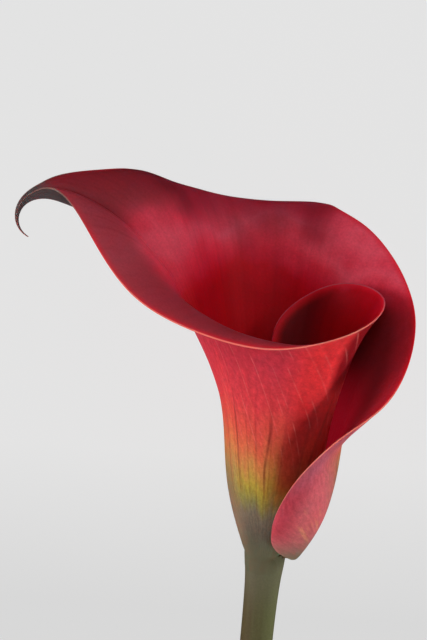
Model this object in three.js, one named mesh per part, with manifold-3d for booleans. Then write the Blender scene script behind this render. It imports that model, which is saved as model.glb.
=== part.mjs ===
// A cut calla lily lying on its back: one rolled spathe, a smooth fleshy stem and the spadix in
// the throat. Millimetres, +Z up, +Y from the cut end to the flower, +X to the flower's right.
//
// The flower is drawn standing, with the foot of its spathe at the origin, its stem down -Z and
// its mouth turned to -Y. Angles run round the stem, from +X towards +Y. At the end it is laid down.
import * as THREE from "three";
import { mergeVertices } from "three/addons/utils/BufferGeometryUtils.js";
import Module from "manifold-3d";

const wasm = await Module();
wasm.setup();

// ---- stem --------------------------------------------------------------------------------------
const STEM_LENGTH = 120;
// Depth below the spathe and radius there: a swollen neck, a slimmer middle and a stouter foot.
const STEM_OUTLINE = [
  [0.5, 5.2],
  [3.5, 5.0],
  [8, 4.6],
  [14, 4.35],
  [24, 4.2],
  [45, 4.2],
  [80, 4.4],
  [120, 4.7],
];
// The stem bows to the left by so much, and crosses back this far below the spathe.
const STEM_BOW = 1;
const STEM_BOW_SPAN = 100;
const STEM_SIDES = 28;
const PLUG_RADIUS = 2.2;
const PLUG_TOP = 1.8;

// ---- spadix ------------------------------------------------------------------------------------
// Height and radius of the spike under its florets.
const SPADIX_OUTLINE = [
  [2.1, 2.0],
  [6, 2.3],
  [11, 3.1],
  [18, 3.6],
  [28, 3.6],
  [36, 3.2],
  [41, 2.3],
  [43.6, 0.8],
];
const FLORETS_AROUND = 9;
const FLORET_ROWS = 15;
const FLORET_RISE = 0.45;
const SPADIX_SIDES = 36;
const SPADIX_STEPS = 45;

// ---- spathe ------------------------------------------------------------------------------------
// The leaf's outline, from the inner margin round the mouth to the outer margin. Each row is where
// one rib of the leaf ends: angle, radius and height of the margin, radius and height of the
// shoulder that the rib rolls over just before it, and how far the rib stands off the tube.
const OUTLINE = [
  // the inner margin, rising inside the throat
  [-15, 4.0, 1.4, 3.8, 1.0, 0],
  [-2, 6.9, 12.0, 6.4, 9.5, -0.6],
  [46, 10.2, 28.2, 8.8, 23.0, -1.7],
  [92.5, 12.4, 45.9, 10.0, 39.0, -2.8],
  [95.3, 14.5, 56.6, 12.0, 49.0, -2.6],
  [71.9, 17.5, 63.8, 15.0, 56.0, -1.2],
  [41.7, 21.0, 69.0, 17.0, 60.5, 0.2],
  [4, 24.8, 69.9, 19.0, 62.0, 0.8],
  // the lip across the front, widening to the left
  [-32, 24.3, 67.7, 19.5, 62.5, 0.5],
  [-68, 23.2, 65.1, 18.0, 63.3, 0],
  [-95, 24.3, 63.8, 17.0, 67.0, 0],
  [-118, 26.7, 64.4, 17.5, 69.2, 0],
  [-138, 31.0, 66.3, 19.5, 71.6, 0],
  [-151, 36.0, 68.8, 23.0, 74.3, 0],
  [-160.5, 41.4, 73.0, 27.0, 77.2, 0],
  [-167.5, 46.5, 79.6, 31.0, 81.4, 0],
  [-173, 51.0, 86.4, 34.5, 86.2, 0],
  // the tail, before it is hooked down
  [-176.8, 55.4, 91.6, 37.5, 89.5, 0],
  [-178.4, 60.2, 94.2, 39.5, 91.0, 0],
  [-179.4, 67.0, 93.8, 41.0, 92.0, 0],
  [-180, 78.5, 93.4, 41.5, 92.6, 0],
  [-180.6, 67.0, 94.3, 41.0, 93.2, 0],
  [-182, 60.8, 95.1, 39.0, 94.2, 0],
  [-185.5, 55.6, 95.9, 35.5, 95.2, 0],
  // the back, curled over and down
  [-192, 48.0, 95.9, 32.0, 95.6, 0.3],
  [-202, 42.8, 94.3, 30.0, 95.7, 0.8],
  [-216, 42.0, 88.9, 29.4, 94.8, 1.6],
  [-231, 43.2, 83.9, 29.9, 92.7, 2.5],
  [-246, 41.4, 80.6, 29.0, 90.6, 3.3],
  [-264, 36.6, 80.9, 26.9, 89.5, 4.0],
  [-281, 38.8, 81.7, 23.9, 87.7, 4.5],
  // the right lobe
  [-295, 30.3, 83.9, 21.6, 83.4, 4.8],
  [-312, 29.5, 81.7, 21.6, 76.8, 5.0],
  [-329, 31.2, 76.1, 22.5, 68.0, 5.0],
  [-345, 32.2, 70.5, 23.5, 61.5, 5.0],
  [-357, 33.2, 64.2, 24.5, 55.5, 5.0],
  [-367, 32.4, 55.5, 24.5, 48.0, 5.0],
  [-378, 29.5, 47.4, 23.0, 41.5, 4.8],
  // the outer margin, wrapped across the front of the tube down to its foot
  [-390, 25.4, 42.2, 20.5, 37.0, 4.6],
  [-402, 21.2, 37.4, 18.0, 33.0, 4.4],
  [-416, 17.5, 31.0, 16.0, 27.0, 4.2],
  [-430, 14.6, 23.8, 14.2, 20.0, 4.0],
  [-441, 12.5, 16.3, 12.9, 13.0, 3.8],
  [-444, 10.3, 9.7, 11.0, 7.5, 3.6],
  [-432, 8.5, 4.8, 8.9, 3.8, 3.0],
  [-411, 7.2, 2.1, 7.4, 1.8, 1.6],
  [-395, 6.0, 1.4, 6.0, 1.0, 0.4],
];

// Radius of the tube's middle surface at every TUBE_STEP of height.
const TUBE_STEP = 10;
const TUBE_RADII = [4.9, 8.6, 11.4, 11.9, 13.0, 16.2, 21.1, 27.3];

// The foot of the leaf winds a little more than once round the stem, as a flat spiral.
const FOOT_START = -15;
const FOOT_END = -395;
const FOOT_INSET = 1.2;
const FOOT_INSET_SHARE = 0.25;
const FOOT_OUTSET = 0.8;
const FOOT_OUTSET_SHARE = 0.2;
const FOOT_FADE = 6;

// Where a rib's guide points lie between the foot and the neck, and how they lean and stand off.
const NECK = 70;
const NECK_RISE = 0.85;
const GUIDE_SHARES = [0, 0.1, 0.27, 0.47, 0.7, 0.94];
const GUIDE_TURNS = [0, 0.12, 0.35, 0.62, 0.85, 1, 1, 1];
const GUIDE_SLACK = [0, 0.74, 1.2, 0.97, 0.95, 0.9];
const GUIDE_SAG = [0, 0.1, 0.1, 0, 0, 0];

// The tail leaves the leaf at HOOK_RADIUS and curls down through HOOK_TURN degrees.
const HOOK_RADIUS = 55.8;
const HOOK_HEIGHT = 93.5;
const HOOK_LENGTH = 22.7;
const HOOK_TURN = 155;
const HOOK_POWER = 1.62;
const HOOK_STEPS = 48;
// The hook's line is drawn on a little past the length of the leaf that bends along it.
const HOOK_REACH = 1.2;

const THICKNESS_FOOT = 1.2;
const THICKNESS_WALL = 1.05;
const THICKNESS_MARGIN = 0.75;
// The fleshy foot thins to the wall over this share of a rib; the margin thins by this power.
const FOOT_SHARE = 1 / 3;
const MARGIN_POWER = 3;
const RIBS_PER_ROW = 2;
const RIBS_PER_TAIL_ROW = 4;
const TAIL_ROWS = [17, 22];
const RIB_STEPS = 21;
// Steps crowd towards the margin, where the leaf curls most.
const RIB_CROWDING = 1.25;
// How far to either side of a point the leaf's slope is measured.
const NEAR = 0.02;

// ---- lying down --------------------------------------------------------------------------------
// Depth of the small flat spots that the flower's own weight presses where it touches down: the thin
// margin of the leaf gives way more than the stem's cut end.
const LEAF_FLAT = 0.8;
const STEM_FLAT = 0.3;
const SLAB_SIZE = 400;
// The lean is found by halving this range this many times.
const MOST_LEAN = 30;
const LEAN_HALVINGS = 40;

// Corners closer than this are one corner.
const WELD = 1e-4;

const RADIAN = Math.PI / 180;

// A natural cubic curve through rows of numbers, one row at each whole value of its parameter.
function curveThrough(rows) {
  const last = rows.length - 1;
  const columns = rows[0].map((_, c) => bendsOf(rows.map((row) => row[c])));
  return (u) => {
    const i = Math.min(Math.floor(u), last - 1);
    const b = u - i;
    const a = 1 - b;
    return columns.map(
      ({ values, bends }) =>
        a * values[i] +
        b * values[i + 1] +
        ((a ** 3 - a) * bends[i] + (b ** 3 - b) * bends[i + 1]) / 6,
    );
  };
}

// Second derivatives of the natural cubic spline through evenly spaced values.
function bendsOf(values) {
  const last = values.length - 1;
  const pivot = new Array(last + 1).fill(0);
  const bends = new Array(last + 1).fill(0);
  for (let i = 1; i < last; i++) {
    const jump = 6 * (values[i + 1] - 2 * values[i] + values[i - 1]);
    pivot[i] = 1 / (4 - pivot[i - 1]);
    bends[i] = (jump - bends[i - 1]) * pivot[i];
  }
  for (let i = last - 1; i > 0; i--) bends[i] -= pivot[i] * bends[i + 1];
  return { values, bends };
}

// A point at t (0 to 1) on the clamped cubic B-spline drawn by rows of guide values.
function guided(guides, t) {
  const degree = 3;
  const spans = guides.length - degree;
  const knot = (k) => THREE.MathUtils.clamp(k - degree, 0, spans);
  const x = t * spans;
  const span = Math.min(Math.floor(x), spans - 1) + degree;
  const rows = guides.slice(span - degree, span + 1).map((row) => [...row]);
  for (let level = 1; level <= degree; level++) {
    for (let j = degree; j >= level; j--) {
      const from = knot(span - degree + j);
      const to = knot(span + 1 + j - level);
      const share = (x - from) / (to - from);
      rows[j] = rows[j].map((value, c) => (1 - share) * rows[j - 1][c] + share * value);
    }
  }
  return rows[degree];
}

const leafRow = curveThrough(OUTLINE);
const tubeRow = curveThrough(TUBE_RADII.map((radius) => [radius]));
const tubeRadius = (height) => tubeRow(height / TUBE_STEP)[0];

// How far the foot's spiral stands off the tube's own radius, at a share of the way round it.
function spiralOffset(share) {
  const inset = Math.max(0, 1 - share / FOOT_INSET_SHARE);
  const outset = Math.max(0, 1 - (1 - share) / FOOT_OUTSET_SHARE);
  return FOOT_OUTSET * outset ** 2 - FOOT_INSET * inset ** 2;
}

// The guide points of the rib at u: height, radius and angle.
function ribGuides(u) {
  const [angle, radius, height, shoulderRadius, shoulderHeight, slack] = leafRow(u);
  const share = u / (OUTLINE.length - 1);
  const foot = FOOT_START + (FOOT_END - FOOT_START) * share;
  const spiral = spiralOffset(share);
  const neck = NECK * Math.tanh((NECK_RISE * height) / NECK);
  const guides = GUIDE_SHARES.map((part, k) => {
    const z = part * neck;
    const fade = Math.max(0, 1 - z / FOOT_FADE);
    const sag = Math.max(0, slack) * GUIDE_SAG[k];
    return [z - sag, tubeRadius(z) + slack * GUIDE_SLACK[k] + spiral * fade];
  });
  guides.push([shoulderHeight, shoulderRadius], [height, radius]);
  return guides.map(([z, r], k) => [z, r, foot + (angle - foot) * GUIDE_TURNS[k]]);
}

// The hook's own line: how far out, how high and how steep it is at each step of its length.
function hookLine() {
  const step = (HOOK_LENGTH * HOOK_REACH) / HOOK_STEPS;
  const line = [{ x: -HOOK_RADIUS, z: HOOK_HEIGHT, turn: 0 }];
  for (let k = 1; k <= HOOK_STEPS; k++) {
    const turn = HOOK_TURN * RADIAN * ((k * step) / HOOK_LENGTH) ** HOOK_POWER;
    const before = line[k - 1];
    const mean = (turn + before.turn) / 2;
    line.push({
      x: before.x - step * Math.cos(mean),
      z: before.z - step * Math.sin(mean),
      turn,
    });
  }
  return { step, line };
}

const hook = hookLine();

// Bends a point of the straight tail into the hook.
function hooked(point) {
  const along = -point.x - HOOK_RADIUS;
  if (along <= 0) return point;
  const k = Math.min(Math.floor(along / hook.step), HOOK_STEPS - 1);
  const part = along / hook.step - k;
  const mix = (name) => THREE.MathUtils.lerp(hook.line[k][name], hook.line[k + 1][name], part);
  const above = point.z - HOOK_HEIGHT;
  const turn = mix("turn");
  return new THREE.Vector3(
    mix("x") - above * Math.sin(turn),
    point.y,
    mix("z") + above * Math.cos(turn),
  );
}

// A point of the leaf's middle surface: u along the outline, t from the foot to the margin.
function leafPoint(u, t) {
  const [z, radius, angle] = guided(ribGuides(u), t);
  const turn = angle * RADIAN;
  return hooked(new THREE.Vector3(radius * Math.cos(turn), radius * Math.sin(turn), z));
}

function leafThickness(t) {
  const wall = THREE.MathUtils.lerp(THICKNESS_FOOT, THICKNESS_WALL, Math.min(1, t / FOOT_SHARE));
  return THREE.MathUtils.lerp(wall, THICKNESS_MARGIN, t ** MARGIN_POWER);
}

// Where the ribs lie along the outline: a few to each row, and more in the narrow tail.
function ribPlaces() {
  const places = [0];
  for (let row = 0; row + 1 < OUTLINE.length; row++) {
    const inTail = row >= TAIL_ROWS[0] && row < TAIL_ROWS[1];
    const ribs = inTail ? RIBS_PER_TAIL_ROW : RIBS_PER_ROW;
    for (let k = 1; k <= ribs; k++) places.push(row + k / ribs);
  }
  return places;
}

// The direction square to the leaf at u and t, away from the throat.
function leafOutward(u, t) {
  const last = OUTLINE.length - 1;
  const sideways = leafPoint(Math.min(u + NEAR, last), t).sub(leafPoint(Math.max(u - NEAR, 0), t));
  const upward = leafPoint(u, Math.min(t + NEAR, 1)).sub(leafPoint(u, Math.max(t - NEAR, 0)));
  const out = upward.cross(sideways);
  if (t === 0) out.setZ(0);
  return out.normalize();
}

// The leaf's two faces: rows of points half the thickness to either side of the middle surface.
function leafFaces() {
  const outer = [];
  const inner = [];
  for (const u of ribPlaces()) {
    const outerRib = [];
    const innerRib = [];
    for (let j = 0; j <= RIB_STEPS; j++) {
      const t = 1 - (1 - j / RIB_STEPS) ** RIB_CROWDING;
      const at = leafPoint(u, t);
      const offset = leafOutward(u, t).multiplyScalar(leafThickness(t) / 2);
      outerRib.push(at.clone().add(offset));
      innerRib.push(at.clone().sub(offset));
    }
    outer.push(outerRib);
    inner.push(innerRib);
  }
  return { outer, inner };
}

// Closes two matching grids of points into one shell, with both faces split along like diagonals.
function shellBetween({ outer, inner }) {
  const rows = outer.length;
  const steps = outer[0].length;
  const points = [...outer.flat(), ...inner.flat()];
  const index = (i, j, side) => side * rows * steps + i * steps + j;
  const faces = [];
  const strip = (a, b, c, d) => faces.push([a, b, c], [a, c, d]);
  for (let i = 0; i + 1 < rows; i++) {
    for (let j = 0; j + 1 < steps; j++) {
      const straight = outer[i][j].distanceTo(outer[i + 1][j + 1]);
      const slanted = outer[i + 1][j].distanceTo(outer[i][j + 1]);
      const ring = [
        [i, j],
        [i, j + 1],
        [i + 1, j + 1],
        [i + 1, j],
      ];
      if (slanted < straight) ring.push(ring.shift());
      const [a, b, c, d] = ring;
      strip(...[a, b, c, d].map(([p, q]) => index(p, q, 0)));
      strip(...[a, d, c, b].map(([p, q]) => index(p, q, 1)));
    }
  }
  const ends = steps - 1;
  for (let i = 0; i + 1 < rows; i++) {
    strip(index(i, ends, 0), index(i, ends, 1), index(i + 1, ends, 1), index(i + 1, ends, 0));
    strip(index(i, 0, 0), index(i + 1, 0, 0), index(i + 1, 0, 1), index(i, 0, 1));
  }
  const side = rows - 1;
  for (let j = 0; j + 1 < steps; j++) {
    strip(index(0, j, 0), index(0, j, 1), index(0, j + 1, 1), index(0, j + 1, 0));
    strip(index(side, j, 0), index(side, j + 1, 0), index(side, j + 1, 1), index(side, j, 1));
  }
  return geometryOf(points, faces);
}

function geometryOf(points, faces) {
  const geometry = new THREE.BufferGeometry().setFromPoints(points);
  geometry.setIndex(faces.flat());
  return geometry;
}

// A closed solid of rings of points, each ring closed on itself, with a fan over either end.
function solidOfRings(rings, bottom, top) {
  const sides = rings[0].length;
  const points = [bottom, ...rings.flat(), top];
  const at = (ring, side) => 1 + ring * sides + (side % sides);
  const faces = [];
  for (let s = 0; s < sides; s++) {
    faces.push([0, at(0, s + 1), at(0, s)]);
    for (let k = 0; k + 1 < rings.length; k++) {
      faces.push([at(k, s), at(k, s + 1), at(k + 1, s + 1)]);
      faces.push([at(k, s), at(k + 1, s + 1), at(k + 1, s)]);
    }
    faces.push([at(rings.length - 1, s), at(rings.length - 1, s + 1), points.length - 1]);
  }
  return geometryOf(points, faces);
}

function ringAt(centre, radius, sides) {
  const ring = [];
  for (let s = 0; s < sides; s++) {
    const turn = (2 * Math.PI * s) / sides;
    ring.push(new THREE.Vector3(radius * Math.cos(turn), radius * Math.sin(turn), 0).add(centre));
  }
  return ring;
}

// The middle of the stem at a depth below the spathe: it bows gently to the left.
function stemCentre(depth) {
  const x = -STEM_BOW * Math.sin((Math.PI * Math.max(0, depth)) / STEM_BOW_SPAN);
  return new THREE.Vector3(x, 0, -depth);
}

function stemGeometry() {
  const rings = STEM_OUTLINE.map(([depth, radius]) =>
    ringAt(stemCentre(depth), radius, STEM_SIDES),
  ).reverse();
  const shoulder = -STEM_OUTLINE[0][0];
  const foot = new THREE.Vector3(0, 0, shoulder);
  rings.push(ringAt(foot, PLUG_RADIUS, STEM_SIDES));
  const top = new THREE.Vector3(0, 0, PLUG_TOP);
  rings.push(ringAt(top, PLUG_RADIUS, STEM_SIDES));
  return solidOfRings(rings, stemCentre(STEM_LENGTH), top);
}

// Radius of the spadix with its florets: low domes in rows, each row turned half a floret.
function spadixRadius(share, turn, bareRadius) {
  const row = share * FLORET_ROWS;
  const shift = Math.floor(row) % 2 ? 0.5 : 0;
  const upDome = Math.sin(Math.PI * (row % 1));
  const roundDome = Math.abs(Math.sin(Math.PI * ((turn / (2 * Math.PI)) * FLORETS_AROUND + shift)));
  return bareRadius + FLORET_RISE * Math.sqrt(upDome * roundDome);
}

function spadixGeometry() {
  const outline = curveThrough(SPADIX_OUTLINE);
  const bottom = SPADIX_OUTLINE[0][0];
  const rings = [];
  for (let k = 0; k <= SPADIX_STEPS; k++) {
    const share = k / SPADIX_STEPS;
    const [height, radius] = outline(share * (SPADIX_OUTLINE.length - 1));
    const ring = ringAt(new THREE.Vector3(0, 0, 0), 1, SPADIX_SIDES);
    ring.forEach((point, s) => {
      const turn = (2 * Math.PI * s) / SPADIX_SIDES;
      point.multiplyScalar(spadixRadius(share, turn, radius)).setZ(height);
    });
    rings.push(ring);
  }
  const [topHeight, topRadius] = SPADIX_OUTLINE[SPADIX_OUTLINE.length - 1];
  return solidOfRings(
    rings,
    new THREE.Vector3(0, 0, bottom),
    new THREE.Vector3(0, 0, topHeight + topRadius / 2),
  );
}

function solidOf(geometry) {
  const plain = new THREE.BufferGeometry();
  plain.setAttribute("position", geometry.getAttribute("position"));
  plain.setIndex(geometry.getIndex());
  const merged = mergeVertices(plain, WELD);
  return new wasm.Manifold(
    new wasm.Mesh({
      numProp: 3,
      vertProperties: new Float32Array(merged.attributes.position.array),
      triVerts: new Uint32Array(merged.index.array),
    }),
  );
}

function geometryFrom(solid) {
  const { vertProperties, triVerts } = solid.getMesh();
  const geometry = new THREE.BufferGeometry();
  geometry.setAttribute("position", new THREE.BufferAttribute(vertProperties, 3));
  geometry.setIndex(new THREE.BufferAttribute(triVerts, 1));
  return geometry;
}

// How far the flower leans back when its cut end and the back of its mouth are both pressed flat, and
// how low the surface then lies.
function lyingTilt(geometries) {
  const lowest = (geometry, tilt) => {
    const spots = geometry.getAttribute("position");
    let least = Infinity;
    for (let k = 0; k < spots.count; k++) {
      const height = spots.getZ(k) * Math.sin(tilt) - spots.getY(k) * Math.cos(tilt);
      least = Math.min(least, height);
    }
    return least;
  };
  const [leaf, stem] = geometries;
  let low = 0;
  let high = MOST_LEAN * RADIAN;
  for (let k = 0; k < LEAN_HALVINGS; k++) {
    const middle = (low + high) / 2;
    if (lowest(leaf, middle) + LEAF_FLAT < lowest(stem, middle) + STEM_FLAT) low = middle;
    else high = middle;
  }
  return { tilt: low, floor: lowest(stem, low) + STEM_FLAT };
}

// Cuts the flat spots where the flower touches down.
function pressedFlat(geometry, { tilt, floor }) {
  const slab = new THREE.BoxGeometry(SLAB_SIZE, SLAB_SIZE, SLAB_SIZE);
  slab.translate(0, 0, floor - SLAB_SIZE / 2);
  slab.rotateX(Math.PI / 2 - tilt);
  return geometryFrom(solidOf(geometry).subtract(solidOf(slab)));
}

const spatheMaterial = () =>
  new THREE.MeshStandardMaterial({ color: 0xa51c2e, roughness: 0.45, metalness: 0 });

const stemMaterial = () =>
  new THREE.MeshStandardMaterial({ color: 0x666a45, roughness: 0.5, metalness: 0 });

const spadixMaterial = () =>
  new THREE.MeshStandardMaterial({ color: 0xd9a531, roughness: 0.8, metalness: 0 });

function named(name, geometry, material) {
  geometry.computeVertexNormals();
  const mesh = new THREE.Mesh(geometry, material);
  mesh.name = name;
  return mesh;
}

function callaLily() {
  const leaf = shellBetween(leafFaces());
  const stem = stemGeometry();
  const rest = lyingTilt([leaf, stem]);

  const flower = new THREE.Group();
  flower.rotation.x = rest.tilt - Math.PI / 2;
  flower.add(named("spathe", pressedFlat(leaf, rest), spatheMaterial()));
  flower.add(named("stem", pressedFlat(stem, rest), stemMaterial()));
  flower.add(named("spadix", spadixGeometry(), spadixMaterial()));

  // The part's origin is under the middle of its box, on the surface it lies on.
  const part = new THREE.Group();
  part.add(flower);
  part.updateMatrixWorld(true);
  const box = new THREE.Box3().setFromObject(part, true);
  const middle = box.getCenter(new THREE.Vector3());
  flower.position.set(-middle.x, -middle.y, -box.min.z);
  return part;
}

export default callaLily();
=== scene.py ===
"""A cut calla lily that lies on its back on a pale surface, seen by a camera that looks down on it.

Sizes are in millimetres and angles in degrees. The flower is drawn standing, with the foot of its
spathe at the origin, its stem down -Z and its mouth turned to -Y, and is then laid down where the
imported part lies. Angles round the stem run from +X towards +Y.
"""

import logging
import math
from dataclasses import dataclass, fields, replace
from enum import Enum
from typing import Iterable, NamedTuple

import bmesh
import bpy
import numpy as np
from mathutils import Matrix, Vector


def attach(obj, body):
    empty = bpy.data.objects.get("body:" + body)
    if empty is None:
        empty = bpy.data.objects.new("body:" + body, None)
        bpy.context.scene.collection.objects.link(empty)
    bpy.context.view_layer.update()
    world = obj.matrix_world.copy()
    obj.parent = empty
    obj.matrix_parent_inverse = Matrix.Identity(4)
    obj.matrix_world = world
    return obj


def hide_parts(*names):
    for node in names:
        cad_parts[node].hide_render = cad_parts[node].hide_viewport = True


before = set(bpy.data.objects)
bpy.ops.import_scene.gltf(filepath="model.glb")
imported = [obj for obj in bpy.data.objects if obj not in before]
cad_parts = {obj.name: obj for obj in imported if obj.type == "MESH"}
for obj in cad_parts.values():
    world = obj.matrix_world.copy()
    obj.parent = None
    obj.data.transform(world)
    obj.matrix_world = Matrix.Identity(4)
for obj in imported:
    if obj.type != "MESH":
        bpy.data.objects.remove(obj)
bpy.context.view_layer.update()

MM = 0.001
PHOTO_WIDTH = 427
PHOTO_HEIGHT = 640
SENSOR_MM = 36.0

Colour = tuple[float, float, float, float]
Span = tuple[float, float]
# a node's socket, or what a socket can be set to
Value = object

# where soft noise mostly stays, where a skin's mottle does, and the light that the mottle gives
NOISE_SPAN: Span = (0.3, 0.7)
MOTTLE_SPAN: Span = (0.25, 0.75)
MOTTLE_LIGHT: Span = (0.88, 1.12)
UNIT: Span = (0.0, 1.0)
log = logging.getLogger("calla_lily")


def srgb(red: float, green: float, blue: float) -> Colour:
    """Turns a colour as a screen shows it into the linear colour that a shader takes.

    Args:
        red: red, 0 to 255.
        green: green, 0 to 255.
        blue: blue, 0 to 255.

    Returns:
        The linear colour with full alpha.
    """

    def linear(share: float) -> float:
        """Undoes the screen's curve for one channel."""
        return share / 12.92 if share <= 0.04045 else ((share + 0.055) / 1.055) ** 2.4

    return (linear(red / 255), linear(green / 255), linear(blue / 255), 1.0)


def smooth(values: np.ndarray) -> np.ndarray:
    """Eases values from 0 to 1 at both ends, and holds them there."""
    held = np.clip(values, 0, 1)
    return held * held * (3 - 2 * held)


class NaturalCurve:
    """A natural cubic curve through rows of numbers, one row at each whole value of its parameter."""

    def __init__(self, rows: Iterable[Iterable[float]]) -> None:
        """Finds the curve's bends.

        Args:
            rows: the rows that the curve runs through.
        """
        self.rows = np.array([list(row) for row in rows], float)
        count = len(self.rows)
        system = np.eye(count)
        jumps = np.zeros_like(self.rows)
        for i in range(1, count - 1):
            system[i, i - 1 : i + 2] = 1, 4, 1
            jumps[i] = 6 * (self.rows[i + 1] - 2 * self.rows[i] + self.rows[i - 1])
        self.bends = np.linalg.solve(system, jumps)

    def __call__(self, at: np.ndarray) -> np.ndarray:
        """Reads the curve.

        Args:
            at: parameters, of any shape.

        Returns:
            The rows there, in one more dimension than the parameters.
        """
        at = np.asarray(at, float)
        start = np.clip(np.floor(at).astype(int), 0, len(self.rows) - 2)
        b = (at - start)[..., None]
        a = 1 - b
        straight = a * self.rows[start] + b * self.rows[start + 1]
        return straight + ((a**3 - a) * self.bends[start] + (b**3 - b) * self.bends[start + 1]) / 6


def guide_weights(at: np.ndarray, count: int) -> np.ndarray:
    """Weights of a clamped cubic B-spline's guide points.

    Args:
        at: places along the curve, 0 to 1, of any shape.
        count: how many guide points the curve has.

    Returns:
        One weight for each guide point, in the last dimension.
    """
    degree = 3
    spans = count - degree
    knots = np.clip(np.arange(count + degree + 1) - degree, 0, spans).astype(float)
    x = np.clip(at, 0, 1 - 1e-12)[..., None] * spans
    weights = ((x >= knots[:-1]) & (x < knots[1:])).astype(float)
    for level in range(1, degree + 1):
        rise = knots[level:-1] - knots[: -level - 1]
        fall = knots[level + 1 :] - knots[1:-level]
        up, down = x - knots[: -level - 1], knots[level + 1 :] - x
        up = np.divide(up, rise, out=np.zeros_like(up), where=rise > 0)
        down = np.divide(down, fall, out=np.zeros_like(down), where=fall > 0)
        weights = up * weights[..., :-1] + down * weights[..., 1:]
    return weights


@dataclass(frozen=True)
class Lying:
    """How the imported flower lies: its lean back from level, and where the foot of its spathe is."""

    lean: float = 9.2988
    foot: tuple[float, float, float] = (17.4287, 11.2488, 23.7282)
    # soft edges lower than the height give way until they clear the surface by the gap
    gap: float = 0.05
    give_height: float = 4.0

    def matrix(self) -> np.ndarray:
        """The turn from the standing flower to the lying one.

        Returns:
            The turn's three rows.
        """
        turn = math.radians(self.lean - 90)
        c, s = math.cos(turn), math.sin(turn)
        return np.array(((1, 0, 0), (0, c, -s), (0, s, c)))

    def direction(self, standing: np.ndarray) -> np.ndarray:
        """Turns directions of the standing flower into directions of the lying one."""
        return np.asarray(standing, float) @ self.matrix().T

    def metres(self, standing: np.ndarray) -> np.ndarray:
        """Places points of the standing flower, in millimetres, on the surface, in metres."""
        return (self.direction(standing) + np.array(self.foot)) * MM

    def transform(self) -> Matrix:
        """The same placing as a Blender matrix, for meshes whose sizes are in metres already."""
        return Matrix.Translation(Vector(self.foot) * MM) @ Matrix(self.matrix().tolist()).to_4x4()

    def settled(self, spots: np.ndarray) -> np.ndarray:
        """Lets a soft edge give way where it would reach under the surface.

        Args:
            spots: points of one piece where it lies, in metres.

        Returns:
            The points, the low ones lifted so that the lowest just clears the surface.
        """
        heights = spots[:, 2] / MM
        push = max(0.0, self.gap - heights.min())
        share = np.clip((self.give_height - heights) / (self.give_height - heights.min()), 0, 1)
        lifted = spots.copy()
        lifted[:, 2] = (heights + push * share**2) * MM
        return lifted


LYING = Lying()


@dataclass(frozen=True)
class StemLine:
    """The stem's own line and width, by depth below the spathe: its skin and the hem follow them."""

    # depths and the radii there
    outline: tuple[Span, ...] = (
        (0.5, 5.2),
        (3.5, 5.0),
        (8.0, 4.6),
        (14.0, 4.35),
        (24.0, 4.2),
        (45.0, 4.2),
        (80.0, 4.4),
        (120.0, 4.7),
    )
    length: float = 120.0
    bow: float = 1.0
    bow_span: float = 100.0

    def radius(self, depth: float) -> float:
        """The stem's radius at a depth."""
        depths, radii = zip(*self.outline)
        return float(np.interp(depth, depths, radii))

    def shift(self, depth: float) -> float:
        """Where the stem's middle is along X at a depth: it bows to the left, to less than 0."""
        return -self.bow * math.sin(math.pi * depth / self.bow_span)


STEM_LINE = StemLine()


class Graph:
    """A node tree that is filled by short calls: plain values set a socket, sockets are linked to it."""

    def __init__(self, tree: bpy.types.NodeTree) -> None:
        """Holds the tree to fill.

        Args:
            tree: the tree, of shader or geometry nodes.
        """
        self.tree = tree

    def feed(self, socket: bpy.types.NodeSocket, value: Value) -> None:
        """Links a socket to an input, or sets the input to a value.

        Args:
            socket: the input.
            value: the socket to link to it, or the value to set.
        """
        if isinstance(value, bpy.types.NodeSocket):
            self.tree.links.new(value, socket)
        else:
            socket.default_value = value

    def node(self, kind: str, values: dict | None = None, **settings: Value) -> bpy.types.Node:
        """Adds a node.

        Args:
            kind: the node's type name.
            values: values or sockets for its inputs, by name or number.
            settings: the node's own settings.

        Returns:
            The new node.
        """
        made = self.tree.nodes.new(kind)
        for name, setting in settings.items():
            setattr(made, name, setting)
        for key, value in (values or {}).items():
            self.feed(made.inputs[key], value)
        return made

    def first(self, kind: str, values: dict | None = None, **settings: Value) -> bpy.types.NodeSocket:
        """Adds a node, as node does, and gives its first output."""
        return self.node(kind, values, **settings).outputs[0]

    def math(self, operation: str, *values: Value) -> bpy.types.NodeSocket:
        """Works out one number from one to three others."""
        return self.first("ShaderNodeMath", dict(enumerate(values)), operation=operation)

    def product(self, first: Value, *others: Value) -> Value:
        """Multiplies numbers.

        Args:
            first: the first number.
            others: the numbers to multiply it by.

        Returns:
            The product.
        """
        for other in others:
            first = self.math("MULTIPLY", first, other)
        return first

    def combine(self, x: Value, y: Value, z: Value) -> bpy.types.NodeSocket:
        """Makes a vector of three numbers."""
        return self.first("ShaderNodeCombineXYZ", {0: x, 1: y, 2: z})

    def step(self, value: Value, start: float, end: float) -> bpy.types.NodeSocket:
        """Rises smoothly from 0 to 1 while a value goes from start to end.

        Args:
            value: the value.
            start: where the step is still 0.
            end: where it is 1, above start or below it.

        Returns:
            The step.
        """
        inputs = {"Value": value, "From Min": start, "From Max": end}
        if start > end:
            inputs = {"Value": value, "From Min": end, "From Max": start, "To Min": 1.0, "To Max": 0.0}
        return self.first("ShaderNodeMapRange", inputs, interpolation_type="SMOOTHSTEP")

    def between(self, value: Value, given: Span, wanted: Span) -> bpy.types.NodeSocket:
        """Maps a value from one range onto another, and holds it there.

        Args:
            value: the value.
            given: the range that it is read over.
            wanted: the range that it is mapped onto.

        Returns:
            The value in the wanted range.
        """
        inputs = {"Value": value, "From Min": given[0], "From Max": given[1]}
        inputs |= {"To Min": wanted[0], "To Max": wanted[1]}
        return self.first("ShaderNodeMapRange", inputs)


class Blend(Enum):
    """Ways of mixing two colours, by Blender's names."""

    MIX = "MIX"
    MULTIPLY = "MULTIPLY"


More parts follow.
